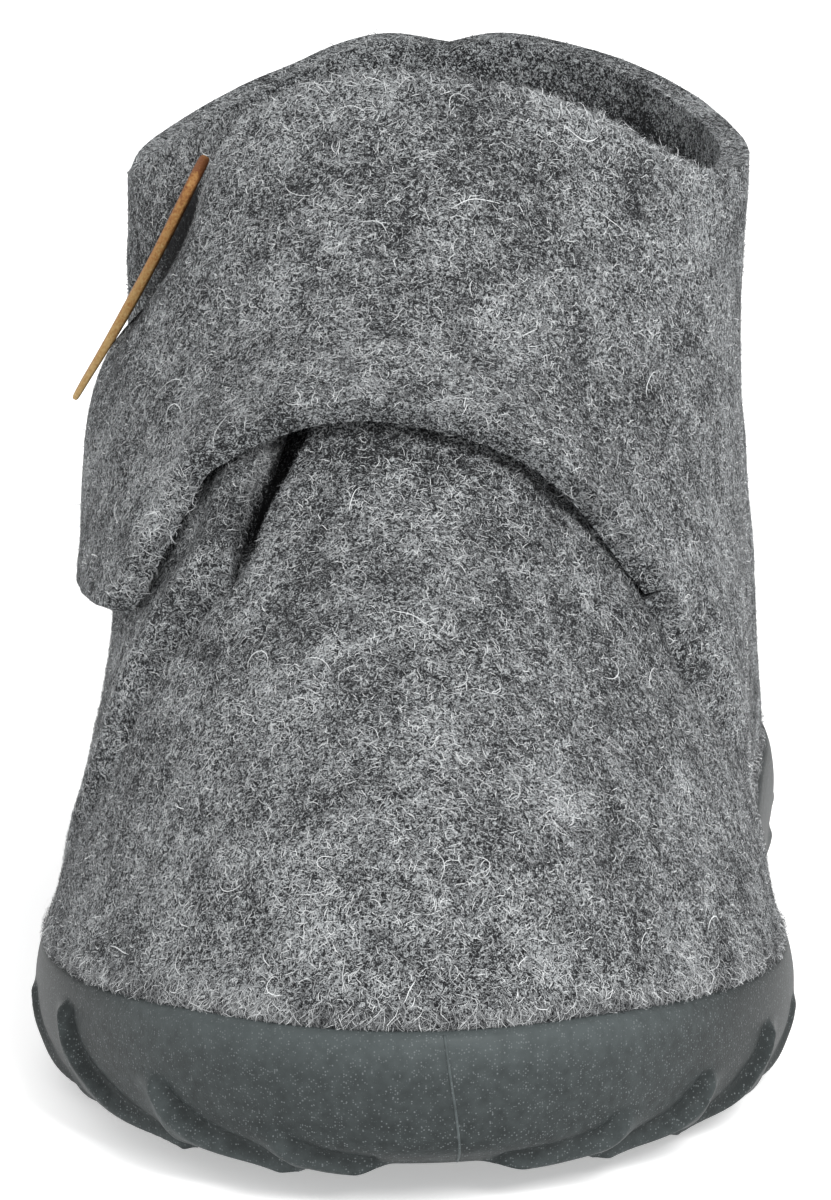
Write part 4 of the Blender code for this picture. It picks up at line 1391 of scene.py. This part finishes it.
# %% [markdown]
# ## Fibre finish
# All loose wool shares one material. Each fibre stores its own tone, from near black to almost white, because
# marled felt is a mix of dark and pale wool. The tone also carries the painted shade of the felt at the root.

# %% Fibre finish
FIBRE_STOPS = (
    (0.0, (0.025, 0.026, 0.028)),
    (0.4, (0.155, 0.159, 0.163)),
    (0.75, (0.36, 0.37, 0.375)),
    (1.0, (0.60, 0.615, 0.62)),
)
wool, tree, shader = new_finish("loose_wool", 0.8, 0.2)
tree.links.new(colour_ramp(tree, stored(tree, "tone"), FIBRE_STOPS), shader.inputs["Base Color"])
print("fibre finish", wool.name)

# %% [markdown]
# ## Fibre ribbons
# A hair system could do this, but a joined mesh of ribbons travels with the part. All the fibres of a piece
# are worked out together: random roots, headings, lengths and curls, then every ribbon's points in one array.

# %% Fibre ribbons
WIGGLE = 0.35
TILT = 0.5
HUMP_DIP = 1.3
TAPER = 0.7
TAPER_POWER = 3
MOTTLE_TONE = 0.38
TONE_SPREAD = 0.36
DEEP_FIBRE_SHADE = 0.3
UPRIGHT = 0.9
UP = np.array((0.0, 0.0, 1.0))
SIDEWAYS = np.array((1.0, 0.0, 0.0))


def fibre_roots(count, rng, weight):
    """Random points on the felt, its normal and its shade there: a triangle by weight, then a point in it."""
    chosen = rng.choice(len(corners), count, p=weight / weight.sum())
    a = np.sqrt(rng.random(count))[:, None]
    b = rng.random(count)[:, None]
    weights = np.stack((1 - a, a * (1 - b), a * b), axis=1)
    root = (skin[corners[chosen]] * weights).sum(axis=1)
    normal = unit((skin_normal[corners[chosen]] * weights).sum(axis=1))
    return root, normal, dim[chosen]


def fibres(name, count, rings, seed, weight, length, curl, lift, width, pale, fall=0.0):
    """Ribbons along arcs: position = root + tangent-plane arc of random curl + normal times a hump that
    dips under the felt at both ends; the width tapers to the ends; fall turns the fibres downward."""
    rng = np.random.default_rng(seed)
    root, normal, shaded = fibre_roots(count, rng, weight)
    spin = rng.uniform(0.0, 2.0 * np.pi, count)[:, None]
    side_a = unit(np.cross(normal, np.where(np.abs(normal[:, 2:]) < UPRIGHT, UP, SIDEWAYS)))
    side_b = np.cross(normal, side_a)
    hang = unit(normal * normal[:, 2:] - UP)
    ahead = unit(side_a * np.cos(spin) + side_b * np.sin(spin) + fall * hang)
    across = np.cross(normal, ahead)
    t = np.linspace(-1.0, 1.0, rings)[None, :]
    half = rng.uniform(length[0], length[1], count)[:, None] / 2
    bend = rng.uniform(curl[0], curl[1], count)[:, None] * rng.choice((-1.0, 1.0), count)[:, None] * half
    wiggle = rng.normal(0.0, WIGGLE, count)[:, None]
    heading = bend * t + wiggle * np.sin(np.pi * t)
    step = half * 2.0 / (rings - 1)
    run_a = np.cumsum(np.cos(heading), axis=1) * step
    run_b = np.cumsum(np.sin(heading), axis=1) * step
    run_a = run_a - run_a[:, rings // 2][:, None]
    run_b = run_b - run_b[:, rings // 2][:, None]
    rise = rng.uniform(lift[0], lift[1], count)[:, None]
    tilt = rng.normal(0.0, TILT, count)[:, None] * rise
    hump = rise * (1.0 - HUMP_DIP * t ** 2) + tilt * t
    line = (root[:, None] + ahead[:, None] * run_a[..., None] + across[:, None] * run_b[..., None]
            + normal[:, None] * hump[..., None])
    tangent = unit(np.gradient(line, axis=1))
    flat = unit(np.cross(np.broadcast_to(normal[:, None], line.shape), tangent))
    wide = rng.uniform(width[0], width[1], count)[:, None] * (1.0 - TAPER * np.abs(t) ** TAPER_POWER) / 2
    points = np.stack((line - flat * wide[..., None], line + flat * wide[..., None]), axis=2)
    index = np.arange(count * rings * 2).reshape(count, rings, 2)
    quads = np.stack((index[:, :-1, 0], index[:, :-1, 1], index[:, 1:, 1], index[:, 1:, 0]), axis=-1)
    piece = add_mesh(name, points, quads.reshape(-1, 4)[:, ::-1])
    # Painted shade: a fibre takes the painted shade of the felt at its root as well as the wool's mottle.
    tone = pale + MOTTLE_TONE * mottle_and_painted_shade(root) + rng.normal(0.0, TONE_SPREAD, count) - DEEP_FIBRE_SHADE * shaded
    set_value(piece, "tone", np.repeat(tone, rings * 2))
    piece.data.materials.append(wool)
    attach(piece, "root")


# %% [markdown]
# ## Growing the fibres
# The nap is split into five pieces, so that none grows too heavy. A few long pale hairs lie over it. Fuzz
# hangs over the rubber rim, and more stands along the cut edges of the strap and the slit, paler than the nap
# as a painted highlight.

# %% Growing the fibres
NAP_PIECES = 5
NAP_EACH = 22000
HAIR_COUNT = 260
RIM_FUZZ_COUNT = 7000
EDGE_FUZZ_COUNT = 4000
SHORT_RINGS = 4
HAIR_RINGS = 9
NAP_SEED = 40
HAIR_SEED = 50
RIM_SEED = 60
EDGE_SEED = 70
RIM_FUZZ_AT = 0.3
RIM_FUZZ_REACH = 0.9
FINE = (0.04, 0.07)
NAP = dict(length=(0.5, 1.6), curl=(0.1, 1.6), lift=(0.02, 0.18), width=FINE, pale=0.5)
HAIRS = dict(length=(1.5, 5.0), curl=(0.1, 0.9), lift=(0.1, 0.5), width=(0.05, 0.09), pale=1.0)
RIM_FUZZ = dict(length=(1.2, 3.0), curl=(0.1, 1.0), lift=(0.15, 0.6), width=FINE, pale=0.5, fall=1.2)
# The edge fuzz is paler than the nap: a painted highlight where the cut edges catch the light.
EDGE_FUZZ = dict(length=(0.8, 2.4), curl=(0.1, 1.2), lift=(0.1, 0.5), width=FINE, pale=0.62)
at_rim = area * ~inner * (np.abs(over_rim - RIM_FUZZ_AT) < RIM_FUZZ_REACH)
at_edge = area * skin_value("cut_edge") ** 2 * ~faces_down
for number in range(NAP_PIECES):
    fibres("felt_nap_%d" % (number + 1), NAP_EACH, SHORT_RINGS, NAP_SEED + number, grows, **NAP)
fibres("pale_hairs", HAIR_COUNT, HAIR_RINGS, HAIR_SEED, grows, **HAIRS)
fibres("rim_fuzz", RIM_FUZZ_COUNT, SHORT_RINGS, RIM_SEED, at_rim, **RIM_FUZZ)
fibres("edge_fuzz", EDGE_FUZZ_COUNT, SHORT_RINGS, EDGE_SEED, at_edge, **EDGE_FUZZ)
print("fibres", NAP_PIECES * NAP_EACH + HAIR_COUNT + RIM_FUZZ_COUNT + EDGE_FUZZ_COUNT)

# %% [markdown]
# ## Floor and light
# The picture is a plain studio cut: pale floor, white surround and broad soft light from above and in
# front, a little stronger from the right. A white world gives the even light, and one large area light the
# direction.

# %% Floor and light
FLOOR_SIZE = 6000.0
FLOOR_Z = -0.05
FLOOR_GLOW = 0.4
PAPER = (0.93, 0.93, 0.93, 1.0)
WHITE = (1.0, 1.0, 1.0, 1.0)
LIGHT_PLACE = (0.50, -0.80, 0.80)
LIGHT_AIM = (0.0, 0.0, 0.03)
LIGHT_SIZE = 0.5
LIGHT_POWER = 11.0
bpy.context.scene.view_settings.view_transform = "Standard"
floor_corners = np.array([(-1, -1), (1, -1), (1, 1), (-1, 1)]) * FLOOR_SIZE
floor = add_mesh("floor", np.column_stack((floor_corners, np.full(4, FLOOR_Z))), [[0, 1, 2, 3]])
paper, tree, shader = new_finish("pale_paper", 0.9, 0.0)
fill(shader, {"Base Color": PAPER, "Emission Color": WHITE, "Emission Strength": FLOOR_GLOW})
floor.data.materials.append(paper)

world = bpy.data.worlds.new("studio")
bpy.context.scene.world = world
world.use_nodes = True
fill(world.node_tree.nodes["Background"], {"Color": WHITE, "Strength": 1.0})


def soft_light(name, place, aim, size, power):
    """Square area light that faces a point, both in metres."""
    lamp = bpy.data.lights.new(name, "AREA")
    lamp.size = size
    lamp.energy = power
    holder = bpy.data.objects.new(name, lamp)
    ray = unit(np.array(aim) - np.array(place))
    x = unit(np.cross(ray, (0.0, 0.0, 1.0)))
    turned = Matrix(np.stack((x, np.cross(x, ray), -ray), axis=1).tolist()).to_4x4()
    turned.translation = place
    holder.matrix_world = turned
    bpy.context.scene.collection.objects.link(holder)


soft_light("key_light", LIGHT_PLACE, LIGHT_AIM, LIGHT_SIZE, LIGHT_POWER)
print("floor %.0f m wide" % (2 * FLOOR_SIZE * MM))
